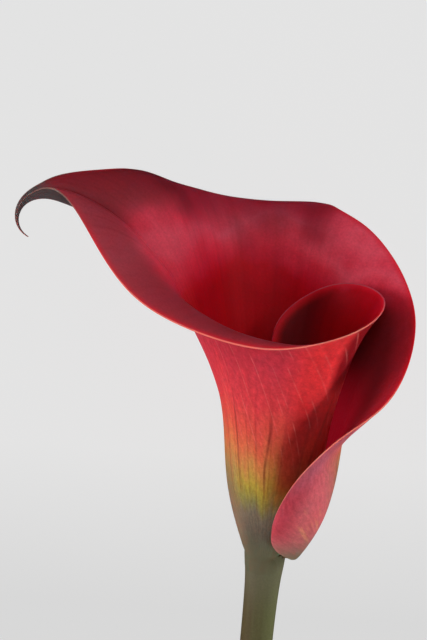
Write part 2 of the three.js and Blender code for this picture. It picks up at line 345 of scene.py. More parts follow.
class ShaderGraph(Graph):
    """A graph of shader nodes."""

    def attribute(self, name: str) -> bpy.types.NodeSocket:
        """Reads one number that the mesh holds at each vertex."""
        return self.node("ShaderNodeAttribute", attribute_name=name).outputs["Fac"]

    def place(self) -> bpy.types.NodeSocket:
        """The point itself, in metres."""
        return self.node("ShaderNodeTexCoord").outputs["Object"]

    def noise(self, vector: Value, scale: float, detail: float = 2.0, roughness: float = 0.5) -> Value:
        """Soft cloudy noise, about 0.5."""
        inputs = {"Vector": vector, "Scale": scale, "Detail": detail, "Roughness": roughness}
        return self.node("ShaderNodeTexNoise", inputs).outputs["Fac"]

    def mix(self, share: Value, first: Value, second: Value, blend: Blend = Blend.MIX) -> Value:
        """Mixes two colours.

        Args:
            share: how much of the second, 0 to 1.
            first: the first colour.
            second: the second colour.
            blend: the way of mixing.

        Returns:
            The mixed colour.
        """
        inputs = {0: share, 6: first, 7: second}
        return self.node("ShaderNodeMix", inputs, data_type="RGBA", blend_type=blend.value).outputs[2]

    def tinted(self, share: Value, colour: Value, tint: Value) -> Value:
        """Multiplies a colour by a tint, as far as a share says."""
        return self.mix(share, colour, self.mix(1.0, colour, tint, Blend.MULTIPLY))

    def lit(self, colour: Value, light: Value) -> Value:
        """Multiplies a colour by one number."""
        grey = self.combine(light, light, light)
        return self.mix(1.0, colour, grey, Blend.MULTIPLY)

    def ramp(self, value: Value, stops: Iterable[tuple[float, Colour]]) -> bpy.types.NodeSocket:
        """Reads a colour from a row of stops.

        Args:
            value: where to read, 0 to 1.
            stops: places, rising, and their colours.

        Returns:
            The colour there.
        """
        made = self.node("ShaderNodeValToRGB", {0: value})
        elements = made.color_ramp.elements
        for k, (place, colour) in enumerate(stops):
            element = elements[k] if k < 2 else elements.new(place)
            element.position, element.color = place, colour
        made.color_ramp.interpolation = "LINEAR"
        return made.outputs[0]

    def group(self, tree: bpy.types.NodeTree, **values: Value) -> bpy.types.Node:
        """Places a shared effect.

        Args:
            tree: the effect's node group.
            values: values or sockets for its inputs, by name.

        Returns:
            The group's node.
        """
        made = self.node("ShaderNodeGroup", node_tree=tree)
        for name, value in values.items():
            self.feed(made.inputs[name], value)
        return made


def shader_group(
    name: str, inputs: dict[str, Value], outputs: dict[str, str]
) -> tuple[ShaderGraph, dict, dict]:
    """Starts a shader node group with named sockets.

    Args:
        name: the group's name.
        inputs: input names and their first values; a tuple makes a vector socket.
        outputs: output names and their socket types.

    Returns:
        The graph, its input sockets by name and its output sockets by name.
    """
    tree = bpy.data.node_groups.new(name, "ShaderNodeTree")
    for label, value in inputs.items():
        kind = "NodeSocketVector" if isinstance(value, tuple) else "NodeSocketFloat"
        socket = tree.interface.new_socket(name=label, in_out="INPUT", socket_type=kind)
        socket.default_value = value
    for label, kind in outputs.items():
        tree.interface.new_socket(name=label, in_out="OUTPUT", socket_type=kind)
    graph = ShaderGraph(tree)
    start, end = graph.node("NodeGroupInput"), graph.node("NodeGroupOutput")
    return graph, {n: start.outputs[n] for n in inputs}, {n: end.inputs[n] for n in outputs}


@dataclass(frozen=True)
class Veins:
    """Lines that run up a leaf: a soft line mask and a random shade for each line."""

    sway_across: float = 5.0
    sway_along: float = 1.6
    off_middle: Span = (0.3, 0.7)
    soft_edge: Span = (1.0, 0.1)
    wear_along: float = 5.0
    worn: Span = (0.3, 0.6)

    def build(self) -> bpy.types.NodeTree:
        """Builds the group once.

        Returns:
            The group. Its inputs are Across, Along, Count, Waver and Width, its outputs Line and Shade.
        """
        inputs = {"Across": 0.0, "Along": 0.0, "Count": 20.0, "Waver": 0.3, "Width": 0.2}
        outputs = {"Line": "NodeSocketFloat", "Shade": "NodeSocketFloat"}
        g, given, out = shader_group("veins", inputs, outputs)
        spot = g.combine(
            g.product(given["Across"], self.sway_across),
            g.product(given["Along"], self.sway_along),
            given["Count"],
        )
        drift = g.product(g.math("SUBTRACT", g.noise(spot, 1.0), 0.5), given["Waver"])
        place = g.math("MULTIPLY_ADD", given["Across"], given["Count"], drift)
        cell = g.math("FLOOR", place)
        shade = g.node("ShaderNodeTexWhiteNoise", {"W": cell}, noise_dimensions="1D").outputs["Value"]
        middle = g.between(shade, UNIT, self.off_middle)
        off = g.math("ABSOLUTE", g.math("SUBTRACT", g.math("FRACT", place), middle))
        line = g.step(g.math("DIVIDE", off, given["Width"]), *self.soft_edge)
        along = g.product(given["Along"], self.wear_along)
        wear = g.noise(g.combine(cell, along, given["Count"]), 1.0)
        g.feed(out["Line"], g.product(line, g.between(wear, self.worn, UNIT)))
        g.feed(out["Shade"], shade)
        return g.tree


@dataclass(frozen=True)
class Grain:
    """The fine cells of a plant's skin: a mottle about 0.5 and a height for bump."""

    detail: float = 3.0
    cell_share: float = 0.35

    def build(self) -> bpy.types.NodeTree:
        """Builds the group once.

        Returns:
            The group, with the inputs Place and Size, in millimetres, and the outputs Mottle and Height.
        """
        inputs = {"Place": (0.0, 0.0, 0.0), "Size": 0.4}
        outputs = {"Mottle": "NodeSocketFloat", "Height": "NodeSocketFloat"}
        g, given, out = shader_group("grain", inputs, outputs)
        scale = g.math("DIVIDE", 1.0, g.product(given["Size"], MM))
        coarse = g.noise(given["Place"], scale, self.detail)
        cells = g.first("ShaderNodeTexVoronoi", {"Vector": given["Place"], "Scale": scale})
        g.feed(out["Mottle"], coarse)
        g.feed(out["Height"], g.math("ADD", coarse, g.product(cells, -self.cell_share)))
        return g.tree


@dataclass(frozen=True)
class StemTone:
    """Colour of the stem's skin, which runs up into the foot of the spathe without a break."""

    green: Colour = srgb(94, 96, 63)
    brown: Colour = srgb(80, 69, 45)
    pale: Colour = srgb(104, 99, 82)
    streak_width: float = 1.3
    streak_length: float = 26.0
    streak_detail: float = 4.0
    streak_roughness: float = 0.6
    # how far a streak carries one side's colour into the other's, and where the sides meet
    streak_sway: float = 6.0
    brown_to_green: Span = (-4.0, 3.5)
    # where the pale crown under the spathe sets in
    crown: Span = (-20.0, -3.0)
    crown_weight: float = 0.55

    def build(self) -> bpy.types.NodeTree:
        """Builds the group once.

        Returns:
            The group, with the input Place and the outputs Tone, Streak and Height.
        """
        outputs = {"Tone": "NodeSocketColor", "Streak": "NodeSocketFloat", "Height": "NodeSocketFloat"}
        g, given, out = shader_group("stem_tone", {"Place": (0.0, 0.0, 0.0)}, outputs)
        from_foot = tuple(-x * MM for x in LYING.foot)
        turn = (math.radians(90 - LYING.lean), 0.0, 0.0)
        moved = g.first("ShaderNodeMapping", {"Vector": given["Place"], "Location": from_foot})
        raised = {"Vector": moved, "Rotation": turn, "Scale": (1 / MM,) * 3}
        standing = g.first("ShaderNodeMapping", raised)
        x, y, z = g.node("ShaderNodeSeparateXYZ", {0: standing}).outputs
        sizes = (self.streak_width, self.streak_width, self.streak_length)
        lines = g.combine(*(g.math("DIVIDE", along, size) for along, size in zip((x, y, z), sizes)))
        streak = g.noise(lines, 1.0, self.streak_detail, self.streak_roughness)
        side = g.math("MULTIPLY_ADD", g.math("SUBTRACT", streak, 0.5), self.streak_sway, x)
        tone = g.mix(g.step(side, *self.brown_to_green), self.brown, self.green)
        crown = g.product(g.step(z, *self.crown), self.crown_weight)
        g.feed(out["Tone"], g.mix(crown, tone, self.pale))
        g.feed(out["Streak"], streak)
        g.feed(out["Height"], z)
        return g.tree


class Material:
    """A new material with its graph and its Principled shader."""

    def __init__(self, name: str) -> None:
        """Starts the material.

        Args:
            name: the finish's name.
        """
        self.material = bpy.data.materials.new(name)
        self.material.use_nodes = True
        self.graph = ShaderGraph(self.material.node_tree)
        self.shader = self.material.node_tree.nodes["Principled BSDF"]

    def set(self, **values: Value) -> None:
        """Sets the shader's own inputs, where _ stands for a space."""
        for name, value in values.items():
            self.graph.feed(self.shader.inputs[name.replace("_", " ")], value)

    def bump(self, height: Value, depth: float) -> None:
        """Gives the shader a bump of a depth in millimetres."""
        inputs = {"Height": height, "Distance": depth * MM, "Strength": 1.0}
        self.set(Normal=self.graph.first("ShaderNodeBump", inputs))


class Lines(NamedTuple):
    """Lines up the leaf: how many there are, how much they waver, how wide and how strong they are."""

    count: float
    waver: float
    width: float
    weight: float


@dataclass(frozen=True)
class Clouds:
    """Noise over two measures of the leaf, each with its own scale."""

    first_scale: float
    second_scale: float
    layer: float = 0.0
    detail: float = 3.0
    roughness: float = 0.5

    def read(self, g: ShaderGraph, first: Value, second: Value) -> Value:
        """Reads the noise, about 0.5."""
        place = (g.product(first, self.first_scale), g.product(second, self.second_scale), self.layer)
        return g.noise(g.combine(*place), 1.0, self.detail, self.roughness)


@dataclass(frozen=True)
class Measures:
    """Where a point of the leaf is, by the numbers that its mesh holds.

    across is the share of the way round the outline and along that from foot to margin. height,
    reach (out from the stem's line) and margin (from the free margin) are in millimetres, and turn
    (round the stem) is in degrees. inside is 1 on the inner face and 0 on the outer one.
    """

    across: Value
    along: Value
    height: Value
    turn: Value
    reach: Value
    margin: Value
    inside: Value

    @classmethod
    def of(cls, g: ShaderGraph) -> "Measures":
        """Reads the measures in a material's graph."""
        return cls(**{field.name: g.attribute(field.name) for field in fields(cls)})


@dataclass(frozen=True)
class Zone:
    """A soft patch of the leaf, bounded on some of its measures.

    Each span bounds it at one side: there it sets in from the first value to the second.
    """

    weight: float = 1.0
    across: tuple[Span, ...] = ()
    height: tuple[Span, ...] = ()
    turn: tuple[Span, ...] = ()
    reach: tuple[Span, ...] = ()
    margin: tuple[Span, ...] = ()

    def mask(self, g: ShaderGraph, at: Measures) -> Value:
        """How far a point is in the patch, from 0 to the patch's weight.

        Args:
            g: the material's graph.
            at: the point's measures.

        Returns:
            The mask.
        """
        sides = (
            (at.across, self.across),
            (at.height, self.height),
            (at.turn, self.turn),
            (at.reach, self.reach),
            (at.margin, self.margin),
        )
        steps = [g.step(measure, *span) for measure, spans in sides for span in spans]
        return g.product(*steps, self.weight) if self.weight != 1 else g.product(*steps)


@dataclass(frozen=True)
class SpatheFinish:
    """Satin skin of the spathe: red throat, orange and yellow foot, pink wrapped margin, dark tail, and
    painted light and shade.
    """

    veins: bpy.types.NodeTree
    grain: bpy.types.NodeTree
    stem_tone: bpy.types.NodeTree
    highest: float = 100.0

    # colours by height above the foot: the tube's outside, the inside and the wrapped margin
    outside: tuple[tuple[float, Colour], ...] = (
        (2.0, srgb(88, 82, 66)),
        (8.0, srgb(98, 88, 76)),
        (13.0, srgb(116, 102, 86)),
        (18.0, srgb(140, 128, 64)),
        (22.0, srgb(170, 146, 58)),
        (27.0, srgb(192, 130, 68)),
        (32.0, srgb(204, 104, 68)),
        (38.0, srgb(208, 80, 66)),
        (46.0, srgb(206, 60, 66)),
        (57.0, srgb(188, 52, 66)),
        (70.0, srgb(160, 42, 56)),
        (80.0, srgb(134, 34, 46)),
        (96.0, srgb(100, 46, 40)),
    )
    # the inside's pinker band, from about 68 to 88 mm, is painted sheen
    inside: tuple[tuple[float, Colour], ...] = (
        (0.0, srgb(90, 6, 10)),
        (30.0, srgb(130, 2, 10)),
        (55.0, srgb(158, 1, 12)),
        (64.0, srgb(160, 2, 17)),
        (68.0, srgb(176, 7, 27)),
        (72.0, srgb(192, 30, 54)),
        (76.0, srgb(204, 48, 70)),
        (80.0, srgb(212, 72, 92)),
        (84.0, srgb(204, 52, 74)),
        (88.0, srgb(176, 46, 64)),
        (97.0, srgb(142, 38, 48)),
    )
    pouch: tuple[tuple[float, Colour], ...] = (
        (0.0, srgb(136, 110, 96)),
        (4.0, srgb(172, 98, 100)),
        (12.0, srgb(194, 94, 98)),
        (24.0, srgb(194, 92, 102)),
        (40.0, srgb(188, 80, 92)),
        (60.0, srgb(166, 36, 48)),
    )

    # the tube: its bands swing up and down, its left side is dull low down, and its right side has
    # painted shadow low down and a painted lit band above
    band_clouds: Clouds = Clouds(55.0, 2.2)
    band_swing: float = 14.0
    left_side: Colour = srgb(134, 104, 84)
    left_zone: Zone = Zone(0.8, turn=((-118.0, -158.0),), height=((34.0, 20.0),))
    right_painted_shadow: Colour = srgb(152, 18, 24)
    right_painted_light: Colour = srgb(218, 50, 52)
    right_shadow_to_light: Zone = Zone(height=((38.0, 52.0),))
    right_shadow_zone: Zone = Zone(0.85, turn=((-92.0, -60.0),), height=((12.0, 24.0),))
    # degrees by which the painted shadow reaches further round low down
    right_shadow_spread: Zone = Zone(14.0, height=((44.0, 30.0),))
    # painted shade on the tube's upper right edge, as if the lobe's shadow fell there
    right_edge_painted_shade: Colour = srgb(112, 10, 18)
    right_edge_shade_zone: Zone = Zone(0.9, turn=((-46.0, -34.0),), height=((44.0, 52.0),))
    dark_vein: Colour = srgb(104, 32, 26)
    dark_lines: tuple[Lines, ...] = (Lines(25.0, 0.5, 0.07, 0.75), Lines(67.0, 0.5, 0.12, 0.35))
    dark_lines_zone: Zone = Zone(height=((8.0, 20.0), (52.0, 36.0)))

    # fine pale lines, which slant up to the left, and the mottle between them
    pale_vein: Colour = srgb(238, 134, 128)
    pale_lines: Lines = Lines(110.0, 1.6, 0.09, 0.28)
    pale_lines_zone: Zone = Zone(height=((20.0, 40.0),))
    pale_slant: float = -0.065
    pale_slant_heights: Span = (25.0, 75.0)
    wear_clouds: Clouds = Clouds(110.0, 0.16, layer=7.0, detail=2.0)
    wear: Span = (0.4, 0.62)
    mottle_clouds: Clouds = Clouds(240.0, 0.5, detail=4.0, roughness=0.65)
    mottle_light: Span = (0.8, 1.18)

    # the wrapped margin: blotches low down, a flush along its edge and a bloom above that
    pouch_zone: Zone = Zone(across=((0.78, 0.86),), height=((64.0, 40.0),))
    blotch: Colour = srgb(214, 146, 98)
    blotch_clouds: Clouds = Clouds(150.0, 0.16)
    blotch_edge: Span = (0.5, 0.66)
    blotch_zone: Zone = Zone(0.4, height=((24.0, 10.0),), margin=((3.0, 8.0),))
    flush: Colour = srgb(176, 56, 72)
    flush_zone: Zone = Zone(0.8, height=((4.0, 12.0), (30.0, 20.0)), margin=((7.0, 2.0),))
    bloom: Colour = srgb(160, 86, 102)
    bloom_zone: Zone = Zone(0.75, height=((18.0, 30.0),), margin=((7.0, 0.8),))

    # the wall inside: clouds move its painted sheen, which comes lower and brighter on the right, and
    # its crest has painted shade
    wall_cloud_scale: float = 70.0
    wall_cloud_detail: float = 3.0
    wall_cloud_swing: float = 18.0
    right_wall_sheen: Zone = Zone(across=((0.625, 0.665),), height=((79.0, 73.0),))
    right_wall_sheen_shift: float = 7.5
    right_wall_painted_light: Colour = (1.2, 1.1, 1.1, 1.0)
    right_wall_painted_light_zone: Zone = Zone(across=((0.695, 0.67),))
    crest_painted_shade: Colour = (0.56, 0.5, 0.56, 1.0)
    crest_back: Zone = Zone(across=((0.5, 0.545), (0.7, 0.65)))
    crest_near: Zone = Zone(margin=((14.0, 8.0),))
    crest_middle: Zone = Zone(across=((0.535, 0.56), (0.625, 0.6)), margin=((20.0, 11.0),))
    crest_left_painted_shade: Colour = (0.85, 0.9, 0.95, 1.0)
    crest_left: Zone = Zone(across=((0.4, 0.43), (0.545, 0.5)), margin=((14.0, 8.0),))

    # the lip, with its own mauve and painted shade, the top of the tail, and painted shade in the
    # scrolled inner end and the right lobe
    lip_tone_and_shade: Colour = srgb(142, 47, 59)
    lip_tone_and_shade_zone: Zone = Zone(0.85, across=((0.16, 0.2), (0.46, 0.38)), margin=((13.0, 7.0),))
    tail_top: Colour = srgb(132, 34, 44)
    tail_top_zone: Zone = Zone(0.8, across=((0.36, 0.42), (0.56, 0.5)), margin=((15.0, 9.0),))
    # painted shade inside the scrolled inner end
    scroll_painted_shade: Colour = (0.34, 0.3, 0.5, 1.0)
    scroll_shade_zone: Zone = Zone(across=((0.137, 0.112),), margin=((0.8, 3.0),))
    # painted shadow on the lobe's inside, lighter toward its margin
    lobe_shadow_edge: Colour = srgb(162, 30, 44)
    lobe_painted_shadow: Colour = srgb(116, 21, 29)
    lobe_shadow_zone: Zone = Zone(across=((0.68, 0.73),), height=((70.0, 63.0),))
    lobe_shadow_depth: Zone = Zone(margin=((2.0, 8.0),))

    # the thin margin with its painted glow, and the dark tail with its rim
    edge_painted_glow: Colour = srgb(208, 20, 42)
    edge_painted_glow_zone: Zone = Zone(margin=((1.8, 0.3),), reach=((57.0, 46.0),))
    edge_painted_glow_outside: float = 0.1
    edge_painted_glow_inside: float = 0.5
    rim: Colour = srgb(222, 122, 110)
    rim_zone: Zone = Zone(margin=((0.45, 0.15),))
    scroll_rim: Colour = srgb(176, 66, 84)
    scroll_rim_end: Zone = Zone(across=((0.15, 0.18),))
    painted_glow_rim: Zone = Zone(across=((0.3, 0.34), (0.82, 0.78)))
    before_tail: Zone = Zone(reach=((57.0, 46.0),))
    tail: Colour = srgb(78, 66, 67)
    tail_rim: Colour = srgb(126, 98, 92)
    tail_outside: Zone = Zone(reach=((42.0, 54.0),))
    tail_inside: Zone = Zone(reach=((58.0, 64.0),))
    tail_rim_zone: Zone = Zone(margin=((0.35, 0.1),))

    # a painted glow: the leaf emits a weak red light between the tube and the lobe
    painted_glow_through: Colour = (0.17, 0.002, 0.007, 1.0)
    painted_glow_zone: Zone = Zone(across=((0.68, 0.72),), height=((54.0, 35.0),), margin=((5.0, 12.0),))

    # the skin: fine lines, grain and flesh
    fine_lines: Lines = Lines(110.0, 3.0, 0.3, -0.06)
    fine_shade: float = 0.09
    fine_depth: float = -0.8
    grain_size: float = 0.55
    into_stem: Span = (9.0, -2.0)
    roughness: Span = (0.46, 0.6)
    flesh_colour: tuple[float, float, float] = (1.0, 0.08, 0.06)
    flesh_depth: float = 2.2
    bump_depth: float = 0.04

    def material(self) -> bpy.types.Material:
        """Builds the material.

        Returns:
            The material.
        """
        made = Material("spathe_satin")
        g = made.graph
        at = Measures.of(g)
        place = g.place()
        grain = g.group(self.grain, Place=place, Size=self.grain_size)
        fine = self.lines(g, at.across, at.along, self.fine_lines)
        colour = g.mix(at.inside, self.outer_face(g, at), self.inner_face(g, at, place))
        light = g.math("MULTIPLY_ADD", fine.outputs["Shade"], self.fine_shade, 1 - self.fine_shade / 2)
        light = g.math("MULTIPLY_ADD", fine.outputs["Line"], self.fine_lines.weight, light)
        colour = g.lit(colour, g.product(light, mottle_light(g, grain)))
        colour = self.edged(g, colour, at)
        tone = g.group(self.stem_tone, Place=place)
        colour = g.mix(g.step(tone.outputs["Height"], *self.into_stem), colour, tone.outputs["Tone"])
        # the leaf emits a weak painted glow between the tube and the lobe
        glow = g.product(self.painted_glow_zone.mask(g, at), at.inside)
        made.set(
            Base_Color=colour,
            Roughness=g.between(grain.outputs["Mottle"], NOISE_SPAN, self.roughness),
            Specular_IOR_Level=0.1,
            Subsurface_Weight=0.5,
            Subsurface_Radius=self.flesh_colour,
            Subsurface_Scale=self.flesh_depth * MM,
            Emission_Color=g.mix(glow, (0.0, 0.0, 0.0, 1.0), self.painted_glow_through),
            Emission_Strength=1.0,
        )
        ridges = g.math("MULTIPLY_ADD", fine.outputs["Line"], self.fine_depth, grain.outputs["Height"])
        made.bump(ridges, self.bump_depth)
        return made.material

    def by_height(self, g: ShaderGraph, height: Value, stops: Iterable[tuple[float, Colour]]) -> Value:
        """Reads the colour at a height from stops in millimetres."""
        share = g.math("DIVIDE", height, self.highest)
        return g.ramp(share, [(place / self.highest, colour) for place, colour in stops])

    def lines(self, g: ShaderGraph, across: Value, along: Value, plan: Lines) -> bpy.types.Node:
        """Places the shared vein effect for one set of lines."""
        values = {"Count": plan.count, "Waver": plan.waver, "Width": plan.width}
        return g.group(self.veins, Across=across, Along=along, **values)

    def outer_face(self, g: ShaderGraph, at: Measures) -> Value:
        """Colours the outer face: the tube below and beside the pink wrapped margin.

        Args:
            g: the material's graph.
            at: the leaf's measures.

        Returns:
            The outer face's colour.
        """
        tube = self.pale_streaks(g, self.tube(g, at), at)
        wrapped = self.pale_streaks(g, self.wrapped_margin(g, at), at)
        return g.mix(self.pouch_zone.mask(g, at), tube, wrapped)

    def tube(self, g: ShaderGraph, at: Measures) -> Value:
        """Colours the tube: its bands, its dull left, the painted shadow and light on its right and its
        dark streaks.

        Args:
            g: the material's graph.
            at: the leaf's measures.

        Returns:
            The tube's colour.
        """
        clouds = self.band_clouds.read(g, at.across, at.along)
        swing = g.product(g.math("SUBTRACT", clouds, 0.5), self.band_swing)
        colour = self.by_height(g, g.math("ADD", at.height, swing), self.outside)
        colour = g.mix(self.left_zone.mask(g, at), colour, self.left_side)
        # painted shadow of the lobe low on the right, a painted lit band above it, then painted shade on
        # the right edge
        shaded = g.mix(self.right_shadow_to_light.mask(g, at), self.right_painted_shadow, self.right_painted_light)
        spread = replace(at, turn=g.math("ADD", at.turn, self.right_shadow_spread.mask(g, at)))
        colour = g.mix(self.right_shadow_zone.mask(g, spread), colour, shaded)
        colour = g.mix(self.right_edge_shade_zone.mask(g, at), colour, self.right_edge_painted_shade)
        low = self.dark_lines_zone.mask(g, at)
        for plan in self.dark_lines:
            line = self.lines(g, at.across, at.along, plan).outputs["Line"]
            colour = g.mix(g.product(line, low, plan.weight), colour, self.dark_vein)
        return colour

    def wrapped_margin(self, g: ShaderGraph, at: Measures) -> Value:
        """Colours the outer margin that wraps across the tube.

        Args:
            g: the material's graph.
            at: the leaf's measures.

        Returns:
            The wrapped margin's colour.
        """
        colour = self.by_height(g, at.height, self.pouch)
        clouds = self.blotch_clouds.read(g, at.across, at.height)
        blotched = g.product(g.step(clouds, *self.blotch_edge), self.blotch_zone.mask(g, at))
        colour = g.mix(blotched, colour, self.blotch)
        colour = g.mix(self.flush_zone.mask(g, at), colour, self.flush)
        return g.mix(self.bloom_zone.mask(g, at), colour, self.bloom)

    def pale_streaks(self, g: ShaderGraph, colour: Value, at: Measures) -> Value:
        """Draws the fine pale lines that slant up to the left, and a blotchy unevenness between them.

        Args:
            g: the material's graph.
            colour: the colour so far.
            at: the leaf's measures.

        Returns:
            The colour with its pale lines.
        """
        above = g.between(at.height, self.pale_slant_heights, UNIT)
        slanted = g.math("MULTIPLY_ADD", above, self.pale_slant, at.across)
        line = self.lines(g, slanted, at.along, self.pale_lines).outputs["Line"]
        whole = g.step(self.wear_clouds.read(g, slanted, at.height), *self.wear)
        mask = g.product(line, self.pale_lines_zone.mask(g, at), whole, self.pale_lines.weight)
        clouds = self.mottle_clouds.read(g, slanted, at.height)
        light = g.between(clouds, NOISE_SPAN, self.mottle_light)
        return g.mix(mask, g.lit(colour, light), self.pale_vein)

    def inner_face(self, g: ShaderGraph, at: Measures, place: Value) -> Value:
        """Colours the inner face: a red throat, a pinker wall above it with painted sheen, painted shade
        on its crest, scroll and lobe, and what stands before that.

        Args:
            g: the material's graph.
            at: the leaf's measures.
            place: the point itself.

        Returns:
            The inner face's colour.
        """
        noise = g.noise(place, self.wall_cloud_scale, self.wall_cloud_detail)
        cloud = g.math("SUBTRACT", noise, 0.5)
        # the painted sheen comes lower on the right, and painted light brightens it there
        right = self.right_wall_sheen.mask(g, at)
        level = g.math("MULTIPLY_ADD", cloud, self.wall_cloud_swing, at.height)
        level = g.math("MULTIPLY_ADD", right, self.right_wall_sheen_shift, level)
        colour = self.by_height(g, level, self.inside)
        lit = g.product(right, self.right_wall_painted_light_zone.mask(g, at))
        colour = g.tinted(lit, colour, self.right_wall_painted_light)
        # painted shade on the crest and toward the tail
        near = g.math("MAXIMUM", self.crest_near.mask(g, at), self.crest_middle.mask(g, at))
        colour = g.tinted(g.product(self.crest_back.mask(g, at), near), colour, self.crest_painted_shade)
        colour = g.tinted(self.crest_left.mask(g, at), colour, self.crest_left_painted_shade)
        # the lip's own mauve with painted shade
        colour = g.mix(self.lip_tone_and_shade_zone.mask(g, at), colour, self.lip_tone_and_shade)
        colour = g.mix(self.tail_top_zone.mask(g, at), colour, self.tail_top)
        # painted shade in the scroll
        colour = g.tinted(self.scroll_shade_zone.mask(g, at), colour, self.scroll_painted_shade)
        # painted shadow in the lobe
        lobe = g.mix(self.lobe_shadow_depth.mask(g, at), self.lobe_shadow_edge, self.lobe_painted_shadow)
        return g.mix(self.lobe_shadow_zone.mask(g, at), colour, lobe)

    def edged(self, g: ShaderGraph, colour: Value, at: Measures) -> Value:
        """Paints a glow of light through the thin margin, and darkens the tail, the outer face from
        further in.

        Args:
            g: the material's graph.
            colour: the colour so far.
            at: the leaf's measures.

        Returns:
            The colour with margin and tail.
        """
        # painted glow of light through the thin margin
        brighter = self.edge_painted_glow_inside - self.edge_painted_glow_outside
        glow = g.math("MULTIPLY_ADD", at.inside, brighter, self.edge_painted_glow_outside)
        colour = g.mix(g.product(glow, self.edge_painted_glow_zone.mask(g, at)), colour, self.edge_painted_glow)
        edge = g.mix(self.scroll_rim_end.mask(g, at), self.scroll_rim, self.rim)
        edge = g.mix(self.painted_glow_rim.mask(g, at), edge, self.edge_painted_glow)
        edge = g.mix(self.before_tail.mask(g, at), self.tail_rim, edge)
        colour = g.mix(self.rim_zone.mask(g, at), colour, edge)
        outer, inner = self.tail_outside.mask(g, at), self.tail_inside.mask(g, at)
        mask = g.math("MULTIPLY_ADD", at.inside, g.math("SUBTRACT", inner, outer), outer)
        return g.mix(mask, colour, g.mix(self.tail_rim_zone.mask(g, at), self.tail, self.tail_rim))


def mottle_light(g: ShaderGraph, grain: bpy.types.Node) -> Value:
    """The light of a skin's mottle, a little under and over 1."""
    return g.between(grain.outputs["Mottle"], MOTTLE_SPAN, MOTTLE_LIGHT)


@dataclass(frozen=True)
class StemFinish:
    """Waxy skin of the stem and the flesh of its cut end."""

    grain: bpy.types.NodeTree
    stem_tone: bpy.types.NodeTree
    skin_grain: float = 0.5
    skin_roughness: Span = (0.44, 0.58)
    skin_bump: float = 0.04
    streak_height: float = 2.0
    flesh: Colour = srgb(198, 204, 150)
    core: Colour = srgb(222, 224, 186)
    flesh_grain: float = 0.3
    flesh_bump: float = 0.08
    depth: float = 1.0

    def skin(self) -> bpy.types.Material:
        """Builds the skin's material.

        Returns:
            The material.
        """
        made = Material("stem_skin")
        g = made.graph
        place = g.place()
        tone = g.group(self.stem_tone, Place=place)
        grain = g.group(self.grain, Place=place, Size=self.skin_grain)
        streak = tone.outputs["Streak"]
        made.set(
            Base_Color=g.lit(tone.outputs["Tone"], mottle_light(g, grain)),
            Roughness=g.between(streak, NOISE_SPAN, self.skin_roughness),
            Specular_IOR_Level=0.25,
            Subsurface_Weight=0.15,
            Subsurface_Radius=(0.5, 0.8, 0.3),
            Subsurface_Scale=self.depth * MM,
        )
        ridges = g.math("MULTIPLY_ADD", streak, self.streak_height, grain.outputs["Height"])
        made.bump(ridges, self.skin_bump)
        return made.material

    def cut(self) -> bpy.types.Material:
        """Builds the material of the cut end: moist pale flesh round a paler core.

        Returns:
            The material.
        """
        made = Material("stem_flesh")
        g = made.graph
        grain = g.group(self.grain, Place=g.place(), Size=self.flesh_grain)
        share = g.between(grain.outputs["Mottle"], NOISE_SPAN, UNIT)
        made.set(
            Base_Color=g.mix(share, self.flesh, self.core),
            Roughness=0.35,
            Specular_IOR_Level=0.5,
            Subsurface_Weight=0.2,
            Subsurface_Radius=(0.8, 1.0, 0.4),
            Subsurface_Scale=self.depth * MM,
        )
        made.bump(grain.outputs["Height"], self.flesh_bump)
        return made.material


@dataclass(frozen=True)
class SpadixFinish:
    """Pollen-dusted yellow of the spadix."""

    grain: bpy.types.NodeTree
    gold: Colour = srgb(226, 172, 44)
    shade: Colour = srgb(196, 122, 24)
    pollen: Colour = srgb(244, 214, 116)
    patch_scale: float = 320.0
    patch_detail: float = 3.0
    patch_edge: Span = (0.35, 0.65)
    dust_edge: Span = (0.5, 0.66)
    grain_size: float = 0.22
    roughness: Span = (0.7, 0.95)
    bump_depth: float = 0.12

    def material(self) -> bpy.types.Material:
        """Builds the material.

        Returns:
            The material.
        """
        made = Material("spadix_pollen")
        g = made.graph
        place = g.place()
        patch = g.between(g.noise(place, self.patch_scale, self.patch_detail), self.patch_edge, UNIT)
        grain = g.group(self.grain, Place=place, Size=self.grain_size)
        dust = g.step(grain.outputs["Mottle"], *self.dust_edge)
        made.set(
            Base_Color=g.mix(dust, g.mix(patch, self.shade, self.gold), self.pollen),
            Roughness=g.between(grain.outputs["Mottle"], NOISE_SPAN, self.roughness),
            Sheen_Weight=0.3,
            Sheen_Roughness=0.6,
        )
        made.bump(grain.outputs["Height"], self.bump_depth)
        return made.material


class OutlineRow(NamedTuple):
    """Where one rib of the leaf ends: its margin, the shoulder before it, and its slack off the tube."""

    angle: float
    radius: float
    height: float
    shoulder_radius: float
    shoulder_height: float
    slack: float


